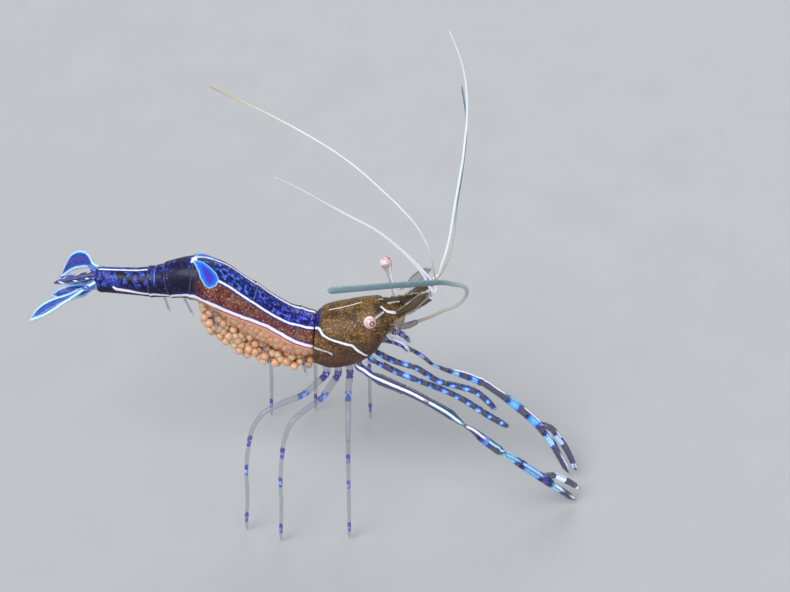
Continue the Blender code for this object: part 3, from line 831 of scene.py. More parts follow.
def spotted_shell():
    """The first legs: a clear, dark limb with irregular blue spots in a row and a thin line on its ridge."""
    s = limb_shade("first leg")
    t, over, gap, shift = s.value("t"), s.value("over"), 0.95, 0.3
    length = s.wander(s.value("length"), 0.7, 0.3)
    beat = s.math("PINGPONG", s.math("ADD", length, shift), gap / 2)
    number = s.math("FLOOR", s.math("DIVIDE", s.math("ADD", length, shift + gap / 2), gap))
    chance = s.node("ShaderNodeTexWhiteNoise", {"W": number}, noise_dimensions="1D")
    across = s.math("SUBTRACT", s.wander(over, 0.4, 0.1), s.blend(chance, 0.18, 0.42))
    away = s.math("SQRT", s.math("ADD", s.math("POWER", s.math("MULTIPLY", beat, 1 / 0.3), 2.0),
                                 s.math("POWER", s.math("MULTIPLY", across, 1 / 0.24), 2.0)))
    away = s.math("MULTIPLY", away, s.blend(s.math("FRACT", s.math("MULTIPLY", chance, 7.0)), 0.8, 1.35))
    away = s.wander(s.wander(away, 0.12, 0.2), 0.8, 0.45)
    base = s.both(s.step(t, 0.34, 0.12), s.dots(0.3, 0.5, 0.25))
    line = s.both(s.stripe(s.wander(over, 0.2, 0.03), 0.07), s.step(t, 0.15, 0.13))
    colour = s.layers(s.mix(s.noise(0.5), SMOKE, (0.012, 0.012, 0.08)),
                      (base, s.mix(s.noise(0.2), VIOLET, MAGENTA)),
                      (s.step(away, 1.15, 0.85), (0.02, 0.06, 0.55)),
                      (s.step(away, 0.85, 0.45), (0.08, 0.36, 0.92)),
                      (s.step(away, 0.5, 0.15), (0.34, 0.6, 0.95)),
                      (s.both(s.step(away, 0.7, 0.2), s.dots(0.08, 0.5, 0.2)), SPARK, 0.85),
                      (line, (0.6, 0.85, 0.92)))
    shown = s.either(s.step(away, 1.2, 0.9), s.either(line, s.both(base, 0.7)))
    return limb_finish(s, colour, shown, CLEAR)


LIMB_STEP, FEELER_STEP = 0.06, 0.09  # the distances between the rings of a limb or blade and a feeler


def rooted(route, inward=0.5, rise=0.9, back=0.1):
    """A limb's route led back into the trunk, so that it grows out of the body."""
    first = route.points[0]
    return route.led_from(first + np.array([-back, -math.copysign(inward, first[1]), rise]))


def taper(gap, length, least):
    """How far a girth is drawn in near an end: from a least share at the end to 1 a length away."""
    return np.sqrt(np.clip(gap / length, 0, 1)) * (1 - least) + least


def square_to(way, aim):
    """The direction nearest to aim that is square to each way."""
    return aim - way * (way @ aim)[:, None]


def tube(name, route, along, girths, aim, material, nodes, sides, lean=0.0):
    """A closed tube along a route. aim gives the direction of its ridge, which leans from it by an angle."""
    middle = route.at(along)
    way = unit(np.gradient(middle, axis=0))
    up = unit(aim(way))
    turn = np.linspace(0, 2 * math.pi, sides, endpoint=False)
    ring = (np.cos(turn)[None, :, None] * up[:, None, :]
            + np.sin(turn)[None, :, None] * np.cross(way, up)[:, None, :])
    points = middle[:, None, :] + ring * girths[:, None, None]
    length = np.repeat(along[:, None], sides, axis=1)
    over = np.abs((turn - lean + math.pi) % (2 * math.pi) - math.pi) * girths[:, None]
    mesh_piece(name, points.reshape(-1, 3), tube_faces(len(along), sides),
               {"t": length / along[-1], "over": over, "length": length}, material, nodes)


STEEP = 0.97  # the upright share of a way from which a limb's ridge looks ahead instead of up


def upward(way):
    """Up from each way along a limb, or ahead where it is steep."""
    steep = np.abs(way[:, 2:]) > STEEP
    return np.where(steep, square_to(way, np.array([1.0, 0, 0])), square_to(way, np.array([0, 0, 1.0])))


def limb(name, route, material, nodes, point, joints=(), swell=(0.92, 1.0, 0.92), sides=16, slim=1.0,
         lean=0.0, dip=0.14):
    """A jointed limb along a route: swell is its girth at the start, middle and end of each joint's length.

    joints are shares of its length. slim scales its girth, as one number or as values at even shares of
    its length. Its painted ridge leans by an angle from its top, to the animal's right. point is the
    length of its rounded tip, and dip is how much a joint is drawn in.
    """
    along = np.linspace(0, route.length, max(8, int(route.length / LIMB_STEP)))
    marks = [0.0, *[share * route.length for share in joints], route.length]
    girths = np.ones(len(along))
    for a, b in zip(marks, marks[1:]):
        within = (along >= a) & (along <= b)
        share = (along[within] - a) / (b - a)
        girths[within] = np.interp(share, (0, 0.5, 1), swell)
        girths[within] *= 1 + 0.1 * np.exp(-((share - 0.94) / 0.05) ** 2)
    for at in marks[1:-1]:
        girths *= 1 - dip * np.exp(-((along - at) / 0.08) ** 2)
    slims = np.atleast_1d(slim)
    girths *= route.radius(along) * np.interp(along, np.linspace(0, route.length, len(slims)), slims)
    girths *= taper(route.length - along, point, 0.02) * taper(along, 0.08, 0.4)
    tube(name, route, along, girths, upward, material, nodes, sides, lean)


FIRST_LEG = spotted_shell()
PALE_LEG = limb_shell(
    "walking leg", [(0.06, 0.09, VIOLET), (0.19, 0.22, (0.2, 0.3, 0.8)), (0.5, 0.53, (0.3, 0.1, 0.5)),
                    (0.65, 0.68, (0.2, 0.3, 0.8)), (0.91, 0.94, (0.3, 0.1, 0.5))],
    clear=0.3, ground=((0.16, 0.17, 0.24), (0.30, 0.31, 0.38)))
# Only the right maxilliped, the nearer one, shows the broad blue-white line along its top.
JAW = {
    side: limb_shell("maxilliped " + side, [(0.1, 0.2, VIOLET), (0.36, 0.44, MAGENTA),
                                            (0.56, 0.64, (0.2, 0.12, 0.8)), (0.78, 0.86, MAGENTA)],
                     line, ridge=0.12, clear=clear, ground=(SMOKE, (0.05, 0.02, 0.16)))
    for side, line, clear in (("right", [(0.0, 0.97, (0.66, 0.78, 0.94))], CLEAR), ("left", [], 0.45))
}
PATCH = (0.07, 0.42, 0.95)
LILAC = (0.42, 0.52, 0.90)
SECOND_LEG = {
    "right": limb_shell(
        "second leg right",
        [(0.05, 0.08, VIOLET), (0.5, 0.53, (0.05, 0.2, 0.7)), (0.62, 0.69, CYAN), (0.73, 0.81, PATCH),
         (0.83, 0.85, VIOLET), (0.875, 0.925, CYAN)],
        [(0.0, 0.28, WHITE), (0.285, 0.41, (0.62, 0.88, 0.92)), (0.42, 0.51, WHITE),
         (0.515, 0.61, (0.45, 0.8, 0.9)), (0.62, 0.7, CYAN), (0.71, 0.82, (0.5, 0.68, 0.95)),
         (0.88, 0.93, WHITE), (0.965, 0.99, WHITE)], ridge=0.09),
    "left": limb_shell(
        "second leg left",
        [(0.15, 0.21, VIOLET), (0.27, 0.31, (0.3, 0.3, 0.9)), (0.36, 0.4, CYAN), (0.435, 0.47, CYAN),
         (0.505, 0.535, PATCH), (0.66, 0.7, PATCH), (0.75, 0.79, PATCH), (0.835, 0.885, CYAN)],
        [(0.0, 0.16, WHITE), (0.33, 0.38, WHITE), (0.44, 0.64, WHITE), (0.65, 0.7, CYAN), (0.71, 0.86, WHITE),
         (0.92, 0.99, WHITE)], ridge=0.08),
}
WALKING = (3, 4, 5)  # the numbers of the legs that it walks on
LEAN = {"right": 0.85, "left": -0.1}  # how far the second legs' painted ridges lie from their tops
FINGER = {
    "right": limb_shell("finger right", [(0.0, 0.1, VIOLET), (0.3, 0.56, WHITE), (0.86, 0.95, WHITE)],
                        [(0.28, 0.58, WHITE), (0.86, 0.97, WHITE)]),
    "left": limb_shell("finger left", [(0.0, 0.1, VIOLET), (0.34, 0.52, LILAC), (0.86, 0.95, LILAC)],
                       [(0.3, 0.42, WHITE), (0.88, 0.96, WHITE)]),
}

for side in SIDES:
    arm, wrist, claw, finger = ("second_leg_%s_%s" % (part, side)
                                for part in ("arm", "wrist", "claw", "finger"))
    whole = rooted(cad_route(arm, wrist, claw))
    elbow, hand = whole.share_of(wrist), whole.share_of(claw)
    limb("second_leg_" + side, whole, SECOND_LEG[side], [arm, wrist, claw],
         joints=(0.09, 0.5 * elbow, elbow, hand), swell=(0.92, 1.0, 0.96), point=0.6, lean=LEAN[side],
         slim=(0.88, 0.66, 0.6, 0.52, 0.42, 0.7, 0.78, 0.8, 0.78, 0.82, 0.9))
    palm = whole.at(whole.length * (hand + 0.52 * (1 - hand)))
    limb(finger + "_shell", cad_route(finger, base=palm).led_from(palm), FINGER[side], [finger],
         point=0.5)
    first = "first_leg_" + side
    limb(first + "_shell", rooted(cad_route(first), 0.1, 0.7, 0.3), FIRST_LEG, [first],
         joints=(0.1, 0.36, 0.6, 0.8), point=0.4, slim=0.85)
    for number in WALKING:
        leg = "walking_leg_%d_%s" % (number, side)
        limb(leg + "_shell", rooted(cad_route(leg)), PALE_LEG, [leg],
             joints=(0.08, 0.2, 0.52, 0.66, 0.93), point=0.5, slim=(0.9, 0.84, 0.7, 0.6, 0.56, 0.52))
    jaw = "maxilliped_" + side
    limb(jaw + "_shell", rooted(cad_route(jaw), 0.0, 0.5, 0.4), JAW[side], [jaw],
         joints=(0.3, 0.5, 0.75), point=0.4, slim=(0.85, 0.85, 0.75, 0.6), lean=0.35)


# -------- feelers

def feeler_paint(name, *stops):
    """A pale feeler of many short rings, whose colour changes along it."""
    s = Shade(name, Roughness=0.4, Coat_Weight=0.4, Coat_Roughness=0.1, IOR=1.45)
    tint, alpha = s.ramp(s.wander(s.value("t"), 0.5, 0.01), stops)
    groove = s.step(s.math("PINGPONG", s.value("length"), 0.045), 0.01, 0.0)
    tint = s.layers(tint, (groove, (0.2, 0.22, 0.3), 0.18),
                    (s.blots(0.3, 0.55, 0.7), (0.5, 0.45, 0.42), 0.18))
    return s.finish(tint, alpha, None, s.math("SUBTRACT", 1.0, groove), 0.005)


def feeler(name, socket, girths, material):
    """A feeler of true thickness along its two CAD nodes, growing out of the end of its base.

    girths are its radii at even shares of its length.
    """
    nodes = [name + "_near", name + "_far"]
    end = cad_route(socket).points[-2:].mean(0)
    route = cad_route(*nodes, base=middle_of(socket)).led_from(end)
    along = np.linspace(0, route.length, int(route.length / FEELER_STEP))
    radius = np.interp(along, np.linspace(0, route.length, len(girths)), girths)
    tube(name, route, along, radius * taper(route.length - along, 0.3, 0.05),
         lambda way: square_to(way, np.array([0.2, 1.0, 0.1])), material, nodes, 12)


FROST = (0.80, 0.84, 0.90)
SLATE = (0.10, 0.185, 0.22)
AMBER = (0.45, 0.28, 0.12)
PALE = feeler_paint("feeler", (0.0, FROST, 1.0), (0.6, FROST, 1.0), (1.0, (0.6, 0.68, 0.8), 0.9))
FADING = feeler_paint("feeler fading", (0.0, AMBER, 0.5), (0.16, FROST, 0.8), (0.3, FROST, 1.0),
                      (0.72, FROST, 1.0), (0.9, (0.62, 0.48, 0.3), 1.0), (1.0, AMBER, 0.9))
THICK = feeler_paint("antenna", (0.0, (0.36, 0.3, 0.24), 0.8), (0.2, (0.5, 0.47, 0.43), 1.0),
                     (0.34, (0.42, 0.48, 0.5), 1.0), (0.5, SLATE, 1.0), (1.0, (0.14, 0.23, 0.27), 1.0))
# The right antenna sweeps in front of the body and looks thick, the left one is thin.
ANTENNA_GIRTHS = {"right": (0.1, 0.11, 0.18, 0.2, 0.22), "left": (0.09, 0.06)}
for side in SIDES:
    feeler("antennule_outer_" + side, "antennule_peduncle_" + side, (0.095, 0.065), PALE)
    thin = side == "left"
    feeler("antennule_inner_" + side, "antennule_peduncle_" + side, (0.06, 0.05) if thin else (0.095, 0.065),
           FADING if thin else PALE)
    feeler("antenna_" + side, "antenna_peduncle_" + side, ANTENNA_GIRTHS[side], THICK)


# -------- eyes and bases of the feelers

def eye_paint():
    """A pale, faceted cornea with dark rings about its outer pole."""
    s = Shade("cornea", Roughness=0.12, Coat_Weight=1.0, Coat_Roughness=0.02, IOR=1.5)
    s.soften(0.3, 0.2, 0.12, 0.1)
    tint, _ = s.ramp(s.wander(s.value("pole"), 0.2, 0.05), [
        (0.0, (0.7, 0.5, 0.5), 1), (0.045, (0.55, 0.3, 0.32), 1), (0.08, (0.16, 0.05, 0.08), 1),
        (0.13, (0.2, 0.06, 0.1), 1), (0.19, (0.78, 0.56, 0.56), 1), (0.3, (0.62, 0.36, 0.4), 1),
        (0.42, (0.84, 0.72, 0.7), 1), (0.75, (0.9, 0.84, 0.84), 1), (1.0, (0.5, 0.4, 0.4), 1)])
    facets = s.cells(0.035, "DISTANCE_TO_EDGE", jitter=0.25)
    tint = s.layers(tint, (s.step(facets, 0.08, 0.0), (0.3, 0.1, 0.15), 0.25))
    return s.finish(tint, None, None, facets, 0.004)


def stalk_paint():
    """Clear and brownish, with pale specks and a white streak."""
    s = Shade("eyestalk", Roughness=0.4, Coat_Weight=0.2, Coat_Roughness=0.15)
    specks = s.dots(0.12, 0.35, 0.15)
    streak = s.stripe(s.wander(s.value("over"), 0.2, 0.03), 0.055)
    colour = s.layers(s.mix(s.noise(0.3), (0.14, 0.11, 0.09), (0.34, 0.27, 0.25)),
                      (specks, (0.7, 0.58, 0.54)), (streak, WHITE))
    return s.finish(colour, s.blend(s.either(streak, s.both(specks, 0.3)), 0.32, 1.0), None, s.noise(0.1))


def eye(side, pole, shift, lean):
    """A cornea, its dark rings about a pole, on a stalk that widens to a cup under it."""
    node, cornea = "eyestalk_" + side, "cornea_" + side
    low, high = (np.array(corner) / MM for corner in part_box(cornea))
    middle, size = (low + high) / 2, float((high - low).mean() / 2)
    shape, faces = ball(4)
    away = np.arccos(np.clip(shape @ unit(np.array(pole)), -1, 1)) / math.pi
    mesh_piece(cornea + "_eye", middle + shape * (high - low) / 2, faces, {"pole": away}, CORNEA,
               [cornea])
    inner = min(rings_of(node, middle_of("head")), key=lambda ring: abs(ring[:, 1]).mean()).mean(0)
    root = inner + (inner - middle) * 0.12 + np.array([shift, 0, 0])
    shares = np.array([0, 0.2, 0.45, 0.65, 0.8, 0.9, 0.97])
    route = Route(root + (middle - root) * shares[:, None],
                  [0.2, 0.15, 0.13, 0.15, size * 0.55, size * 0.8, size * 0.82])
    limb(node + "_stalk", route, STALK, [node], swell=(1, 1, 1), point=0.02, sides=20, lean=lean)


CORNEA, STALK = eye_paint(), stalk_paint()
BROWN = ((0.05, 0.034, 0.016), (0.17, 0.115, 0.055))
CUFFED = limb_shell("antennule base", [(0.93, 1.0, WHITE)], [(0.1, 0.9, (0.5, 0.42, 0.28))], ridge=0.03,
                    clear=0.95, ground=BROWN)
PLAIN = limb_shell("antenna base", [(0.3, 0.34, (0.4, 0.3, 0.25))], [(0.1, 0.9, (0.45, 0.38, 0.26))],
                   ridge=0.03, clear=0.5, ground=BROWN)
# Each eye's pole, how far ahead its stalk's root is moved, and how the stalk's white streak leans.
EYES = {"right": ((0.45, -0.75, 0.35), -0.4, -0.86), "left": ((0.3, 0.3, 0.85), 0.45, 0.5)}
for side in SIDES:
    eye(side, *EYES[side])
    for node, paint, slim in (("antennule_peduncle_" + side, CUFFED, (1.0, 1.0, 0.95, 0.8)),
                              ("antenna_peduncle_" + side, PLAIN, (0.9, 0.75, 0.65, 0.5))):
        limb(node + "_shell", rooted(cad_route(node), 0.25, -0.35, 0.6), paint, [node],
             joints=(0.42, 0.58, 0.8), point=0.3, swell=(0.96, 1.0, 1.0), slim=slim, dip=0.1)


# -------- bristles

def hair_paint():
    s = Shade("setae", Roughness=0.35)
    colour = s.mix(s.noise(0.4), (0.35, 0.45, 0.75), (0.75, 0.8, 0.9))
    return s.finish(colour, s.blend(s.noise(0.3), 0.75, 0.95))


SETAE = hair_paint()


def spikes(name, hairs, girth=0.014):
    """Three-sided hairs, each given by its foot, direction, length and root's place on its skin's unwrap."""
    points, faces, places = [], [], []
    for foot, aim, length, u, v in hairs:
        aim = unit(np.array(aim))
        cross = unit(np.cross(aim, (0.31, 0.87, 0.38)))
        lift = np.cross(aim, cross)
        start = len(points)
        points += [foot + girth * (math.cos(turn) * cross + math.sin(turn) * lift) for turn in (0, 2.1, 4.2)]
        points.append(foot + aim * length)
        faces += [(start, start + 1, start + 3), (start + 1, start + 2, start + 3),
                  (start + 2, start, start + 3), (start + 2, start + 1, start)]
        places += [(0.01 + 0.98 * u, 0.01 + 0.98 * v)] * 4
    piece = mesh_piece(name, points, faces, {}, SETAE)
    layer = piece.data.uv_layers.new(name="OFBake")
    for corner in piece.data.loops:
        u, v = places[corner.vertex_index]
        k = corner.vertex_index % 4
        layer.data[corner.index].uv = (u + 0.0015 * (k == 1), v + 0.0015 * (k == 2) + 0.003 * (k == 3))


def bristles(name, route, first, last, count, length):
    """Bristles all round a stretch of a limb, leaning towards its tip."""
    hairs = []
    for _ in range(count):
        share, turn = dice.uniform(first, last), dice.uniform(0, 2 * math.pi)
        along = np.array([share * route.length, share * route.length + 0.05])
        foot, ahead = route.at(along)
        way = unit(ahead - foot)
        up = unit(np.cross(way, (0.1, 0.9, 0.3)))
        out = up * math.cos(turn) + np.cross(way, up) * math.sin(turn)
        foot = foot + out * float(route.radius(along[0])) * 0.5
        hairs.append((foot, out + way * 0.8 * dice.uniform(0.7, 1.4), length * dice.uniform(0.7, 1.2), share,
                      turn / (2 * math.pi)))
    spikes(name, hairs, 0.009)


def small_claw(side):
    """The second finger of a first leg's claw, beside the first, and the brush of bristles on both."""
    node = "first_leg_" + side
    whole = cad_route(node)
    points = whole.at(np.linspace(0.91, 0.995, 5) * whole.length)
    points[:, 2] += (0.02, 0.12, 0.17, 0.16, 0.1)
    limb(node + "_finger", Route(points, [0.14, 0.12, 0.1, 0.09, 0.08]), FIRST_LEG, [], point=0.4)
    bristles(node + "_brush", whole, 0.9, 0.99, 70, 0.3)


for side in SIDES:
    small_claw(side)
    jaw = "maxilliped_" + side
    bristles(jaw + "_bristles", cad_route(jaw), 0.3, 0.98, 60, 0.22)
    for number in WALKING:
        leg = "walking_leg_%d_%s" % (number, side)
        bristles(leg + "_bristles", cad_route(leg), 0.55, 0.98, 50, 0.14)


# -------- blades: tail fan, scales, swimmerets

def fin_paint(name, edge, inner, middle, clear=0.85, shine=(0.03, 0.22, 0.75), share=0.8, hem=0.08, coat=0.5):
    """A clear, spotted blade with fine streaks, whose shine by the edge ends in a painted hem.

    share says how much of the light the shine and the spots stop, against clear for the rest.
    """
    s = Shade(name, Roughness=0.28, Coat_Weight=coat, Coat_Roughness=0.06, Specular_IOR_Level=0.35, IOR=1.45)
    rim = s.value("rim")
    spots = s.both(s.dots(0.35, 0.4, 0.2), s.blots(0.6, 0.45, 0.55))
    streaks = s.blots(0.08, 0.5, 0.65, at=s.vectors("MULTIPLY", s.place, (0.12, 1.0, 1.0)))
    glow = s.step(s.wander(rim, 0.2, 0.06), hem + 0.16, hem + 0.02)
    colour = s.layers(s.mix(s.noise(0.4), inner, tuple(0.35 * c for c in inner)),
                      (s.step(s.wander(rim, 0.3, 0.08), 0.28, 0.5), tuple(0.8 * c for c in middle)),
                      (spots, middle), (streaks, shine, 0.35), (glow, shine, 0.8),
                      (s.step(s.wander(rim, 0.2, 0.03), hem + 0.02, hem - 0.02), edge))
    alpha = s.blend(s.either(s.both(glow, share), s.both(spots, share)), clear, 1.0)
    return s.finish(colour, alpha, None, s.both(streaks, 1.0), 0.008)


def telson_paint():
    """Dark and clear, with blue spots and a row of short white dashes along each edge."""
    s = Shade("telson", Roughness=0.28, Coat_Weight=0.6, Coat_Roughness=0.06, IOR=1.45)
    across, rim = s.math("ABSOLUTE", s.value("across")), s.value("rim")
    slanted = s.math("ADD", s.wander(s.value("length"), 0.5, 0.08), s.math("MULTIPLY", across, 1.6))
    dash = s.both(s.step(s.math("PINGPONG", slanted, 0.42), 0.31, 0.35),
                  s.stripe(s.math("SUBTRACT", rim, 0.1), 0.075))
    blue = s.both(s.dots(0.3, 0.45, 0.25), s.blots(0.5, 0.45, 0.55))
    colour = s.layers(s.mix(s.noise(0.3), INK, (0.02, 0.03, 0.25)),
                      (s.both(blue, s.step(across, 0.05, 0.15)), ROYAL),
                      (s.step(rim, 0.05, 0.02), (0.1, 0.2, 0.6)), (dash, WHITE))
    return s.finish(colour, s.blend(dash, 0.85, 1.0), None, s.noise(0.1))


class Blade:
    """A flat blade: middle line, flat direction and half width."""

    def __init__(self, rows):
        self.rows = np.array(rows)
        self.knots = distances(self.rows[:, :3])
        self.length = float(self.knots[-1])

    def at(self, along):
        row = smooth(self.knots, self.rows, along)
        return row[..., :3], unit(row[..., 3:6]), row[..., 6]


def cad_blade(node, base):
    """A CAD blade as its rings give it, led back a little at its root."""
    rows = []
    for ring in rings_of(node, base):
        middle = ring.mean(0)
        across = np.linalg.svd(ring - middle)[2][0]
        across = across * (1 if across[1] >= 0 else -1)
        rows.append(np.array((*middle, *across, np.abs((ring - middle) @ across).max())))
    root = rows[0].copy()
    root[:3] -= 0.35 * unit(rows[1][:3] - rows[0][:3])
    return Blade([root, *rows])


SETAE_GAP = 0.05


def fringe(name, base, way, flat, length):
    """Thin setae standing out from a blade's two edges and tip."""
    def round_tip(near, far):
        return np.concatenate([near[2:], far[::-1][:-2]])

    edge, lie, flats = round_tip(base[:, 0], base[:, -1]), round_tip(way, way), round_tip(flat, flat)
    out = unit(edge - round_tip(base, base).mean(1))
    steps, hairs = distances(edge), []
    for at in np.arange(0.1 * steps[-1], 0.9 * steps[-1], SETAE_GAP):
        foot = np.array([np.interp(at, steps, edge[:, k]) for k in range(3)])
        k = min(int(np.searchsorted(steps, at)), len(edge) - 1)
        aim = out[k] + lie[k] * dice.uniform(0.8, 1.3) + flats[k] * dice.uniform(-0.1, 0.1)
        hairs.append((foot, aim, length * dice.uniform(0.75, 1.1), at / steps[-1], 0.5))
    spikes(name, hairs)


def blade_piece(name, blade, material, nodes, round_end=0.5, thin=0.1, rib=0.14, setae=0.0, edges=()):
    """A thin blade with a raised midrib, a rounded tip and, where asked, a fringe of setae.

    edges, where given, replaces its outline: distances along, and from its middle line to each edge.
    """
    rows, columns = max(12, int(blade.length / LIMB_STEP)), 33
    share = 1 - (1 - np.linspace(0, 1, rows)) ** 1.5
    along = share * blade.length
    middle, across, half = blade.at(along)
    if edges:
        marks = np.array(edges)
        low, high = smooth(marks[:, 0], marks[:, 1:], along).T
        middle, half = middle + across * ((low + high) / 2)[:, None], (high - low) / 2
        round_end = 0.05
    way = unit(np.gradient(middle, axis=0))
    flat = unit(np.cross(way, across))
    half = half * np.sqrt(np.clip(1 - np.clip((share - 1 + round_end) / round_end, 0, 1) ** 2.4, 0.0004, 1))
    v = np.linspace(-1, 1, columns)
    wide = v * half[:, None]
    thick = thin * (1 - 0.6 * v ** 2) / 2 + rib / 2 * np.exp(-(wide / 0.09) ** 2)
    thick = flat[:, None, :] * (thick * np.clip((1 - share) / 0.1, 0.15, 1)[:, None])[..., None]
    base = middle[:, None, :] + across[:, None, :] * wide[..., None]
    ring = np.concatenate([base + thick, (base - thick)[:, ::-1]], axis=1)
    rim = np.minimum((1 - np.abs(v)) * half[:, None], (1 - share)[:, None] * blade.length + 0 * v)
    values = {"rim": np.concatenate([rim, rim[:, ::-1]], axis=1),
              "across": np.concatenate([wide, wide[:, ::-1]], axis=1),
              "length": np.repeat(along[:, None], 2 * columns, axis=1)}
    faces = [face[::-1] for face in tube_faces(rows, 2 * columns)]
    mesh_piece(name, ring.reshape(-1, 3), faces, values, material, nodes)
    if setae:
        fringe(name + "_setae", base, way, flat, setae)


OUTER = fin_paint("outer uropod", (0.5, 0.82, 0.95), (0.012, 0.06, 0.5), (0.07, 0.04, 0.42), hem=0.11)
INNER = fin_paint("inner uropod", (0.36, 0.7, 0.95), (0.01, 0.05, 0.36), (0.06, 0.05, 0.42))
# The far scale, which the photo does not show, is nearly clear.
SCALES = {side: fin_paint("scale " + side, (0.24, 0.2, 0.125), (0.045, 0.034, 0.016), (0.1, 0.073, 0.036),
                          clear=clear, shine=(0.09, 0.07, 0.035), share=share, coat=0.1)
          for side, clear, share in (("right", 0.9, 0.8), ("left", 0.25, 0.35))}
PROTOPOD = limb_shell("protopod", [(0.15, 1.0, (0.012, 0.07, 0.5))], clear=0.9,
                      ground=(INK, (0.015, 0.03, 0.26)))
# The outer uropods' outlines: the left one stands up like a dome on a straight edge, the right one is
# seen narrow, with a long shaft.
OUTLINES = {
    "left": [(0.0, -0.16, 0.12), (0.4, -0.15, 0.15), (0.7, -0.13, 0.3), (0.95, -0.12, 0.6),
             (1.25, -0.13, 0.83), (1.8, -0.22, 0.93), (2.35, -0.38, 0.8), (2.8, -0.62, 0.46),
             (3.1, -0.82, -0.08), (3.47, -1.06, -0.98)],
    "right": [(0.0, -0.16, 0.14), (1.0, -0.16, 0.14), (2.0, -0.2, 0.24), (2.6, -0.22, 0.42),
              (3.2, -0.25, 0.56), (3.9, -0.25, 0.56), (4.6, -0.15, 0.34), (5.03, -0.03, 0.02)],
}
TAIL = middle_of("abdomen_6")
blade_piece("telson_blade", cad_blade("telson", TAIL), telson_paint(), ["telson"], round_end=0.3,
            rib=0.25)
for side, sign in SIDES.items():
    for part, paint, edges in (("inner", INNER, ()), ("outer", OUTER, OUTLINES[side])):
        node = "uropod_%s_%s" % (part, side)
        blade_piece(node + "_blade", cad_blade(node, TAIL), paint, [node], setae=0.3, edges=edges)
    root = np.array([-14.35, 0.5 * sign, 17.25])
    shaft = cad_route("uropod_outer_" + side, base=TAIL)
    foot = Route([root, root + [-0.45, 0.2 * sign, 0.05], shaft.at(0.35) + [0, 0, -0.05], shaft.at(0.8)],
                 [0.3, 0.3, 0.24, 0.13])
    limb("protopod_" + side, foot, PROTOPOD, [], point=0.35, lean=0.5)
    node = "antennal_scale_" + side
    scale = cad_blade(node, middle_of("carapace"))
    reach = scale.knots[:, None] / scale.length
    scale.rows[:, :3] += reach * np.array([-0.5, -0.25 * sign, 0.3]) + np.array([0, -0.13 * sign, 0])
    scale.rows[:, 6] *= 1.6
    blade_piece(node + "_blade", scale, SCALES[side], [node], setae=0.2)


# -------- rostrum and swimmerets

def rostrum_paint():
    s = Shade("rostrum", Roughness=0.3, Coat_Weight=0.5, Coat_Roughness=0.08, IOR=1.45)
    rim = s.step(s.value("rim"), 0.09, 0.02)
    colour = s.layers(s.mix(s.noise(0.35, 4.0), (0.055, 0.04, 0.018), (0.15, 0.108, 0.052)),
                      (s.dots(0.14, 0.25, 0.5), (0.035, 0.022, 0.01), 0.6), (rim, (0.4, 0.33, 0.2), 0.35))
    return s.finish(colour, s.blend(rim, 0.85, 1.0), None, s.noise(0.08))


def rostrum_blade():
    """A thin, toothed blade with a sharp edge all round, on the CAD rostrum's own outline."""
    points, faces = welded("rostrum")
    edges = dict.fromkeys((int(a), int(b)) for face in faces if min(points[face, 1]) > 0
                          for a, b in zip(face, face[[1, 2, 0]]))
    border = {a: b for a, b in edges if (b, a) not in edges}
    order = [next(iter(border))]
    while border[order[-1]] != order[0]:
        order.append(border[order[-1]])
    outline = points[order][:, (0, 2)]
    along = unit(np.roll(outline, -1, axis=0) - np.roll(outline, 1, axis=0))
    inward = np.stack([along[:, 1], -along[:, 0]], axis=1)
    if np.mean(np.sum(inward * (outline.mean(0) - outline), axis=1)) < 0:
        inward = -inward
    count, half = len(outline), 0.07
    side = outline + inward * 0.07
    rows, rim = [], []
    for flat, y, depth in ((side, half, 0.1), (outline, 0.0, 0.0), (side, -half, 0.1)):
        rows.append(np.stack([flat[:, 0], np.full(count, y), flat[:, 1]], axis=1))
        rim += [depth] * count
    ends = [tuple(range(count)), tuple(range(3 * count - 1, 2 * count - 1, -1))]
    piece = mesh_piece("rostrum_blade", np.concatenate(rows), grid_faces(3, count, True) + ends, {"rim": rim},
                       rostrum_paint(), ["rostrum"])
    piece.data.shade_flat()


def swimmerets():
    """A pair of fringed paddles under each of the first five segments, out to the CAD paddles' tips."""
    paint = fin_paint("swimmeret", (0.34, 0.28, 0.34), (0.16, 0.1, 0.14), (0.2, 0.1, 0.24), clear=0.25,
                      shine=(0.22, 0.16, 0.24), share=0.2)
    for number, segment in enumerate(SEGMENTS[:5], 1):
        points, faces = welded(segment)
        tips = [points[group] for group in flat_patches(points, faces) if len(group) == 6]
        for side, sign in SIDES.items():
            own = [ring.mean(0) for ring in tips if ring[:, 1].mean() * sign > 0]
            end = min(own, key=lambda place: place[2])
            along = np.array([(SEGMENT_KNOTS[number - 1] + SEGMENT_KNOTS[number]) / 2])
            root = skin(abdomen, along, np.array([sign * 2.1]), -0.15)[0]
            blade = Blade([(*(root + (end - root) * share), 0.55, 0.8 * sign, 0.0, width)
                           for share, width in ((0.0, 0.14), (0.3, 0.2), (0.65, 0.3), (1.0, 0.24))])
            blade_piece("swimmeret_%d_%s" % (number, side), blade, paint, [], thin=0.08, rib=0.1,
                        setae=0.22)


rostrum_blade()
swimmerets()


# -------- floor, light and camera

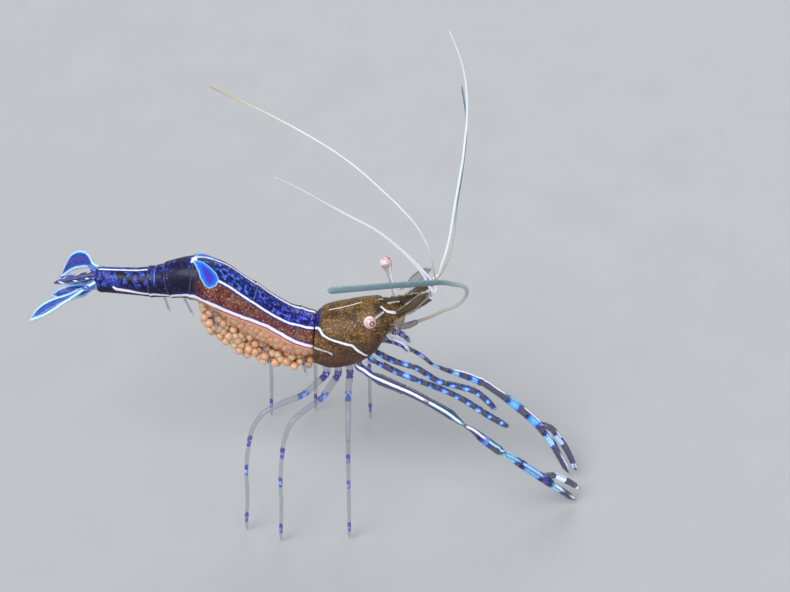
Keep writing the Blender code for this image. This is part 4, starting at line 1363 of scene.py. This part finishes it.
LAMPS = {  # the way each lamp lies, its power and how wide it is, in degrees
    "key": ((-0.45, -0.55, 1.0), 2.5, 35),
    "fill": ((0.8, -0.8, 0.5), 0.8, 60),
    "rim": ((0.1, 1.0, 0.7), 1.1, 40),
}
FLOOR_SIZE, FLOOR_GAP = 40.0, 0.00005  # in metres: how wide the floor is, and how far under the feet
AIM = (5.44, 0.0, 17.0)  # the place that the camera looks at
AZIMUTH, ELEVATION, DISTANCE = 4.0, 40.0, 146.4  # in degrees and millimetres from there


def studio():
    """A pale grey floor, even light all round and three soft lamps."""
    s = Shade("floor", Roughness=0.7)
    bpy.ops.mesh.primitive_plane_add(size=FLOOR_SIZE, location=(0, 0, -FLOOR_GAP))
    floor = bpy.context.object
    floor.name = "floor"
    floor.data.materials.append(s.finish(s.mix(s.noise(6.0), (0.35, 0.36, 0.375), (0.385, 0.395, 0.41))))
    world = bpy.data.worlds.new("studio")
    world.use_nodes = True
    world.node_tree.nodes["Background"].inputs["Color"].default_value = (0.8, 0.83, 0.88, 1)
    world.node_tree.nodes["Background"].inputs["Strength"].default_value = 0.55
    bpy.context.scene.world = world
    bpy.context.scene.view_settings.view_transform = "Standard"
    for name, (way, power, width) in LAMPS.items():
        light = bpy.data.lights.new(name, "SUN")
        light.energy, light.angle = power, math.radians(width)
        lamp = bpy.data.objects.new(name, light)
        lamp.rotation_euler = (-Vector(way)).to_track_quat("-Z", "Y").to_euler()
        bpy.context.scene.collection.objects.link(lamp)


def camera():
    """The photo's view: from the animal's right, a little ahead, and from well above."""
    turn, rise = math.radians(AZIMUTH), math.radians(ELEVATION)
    back = Vector((math.sin(turn) * math.cos(rise), -math.cos(turn) * math.cos(rise), math.sin(rise)))
    data = bpy.data.cameras.new("camera")
    data.lens, data.sensor_width, data.clip_start = 100, 36, 0.002
    view = bpy.data.objects.new("camera", data)
    view.location = (Vector(AIM) + back * DISTANCE) * MM
    view.rotation_euler = (-back).to_track_quat("-Z", "Y").to_euler()
    bpy.context.scene.collection.objects.link(view)
    bpy.context.scene.camera = view


studio()
camera()
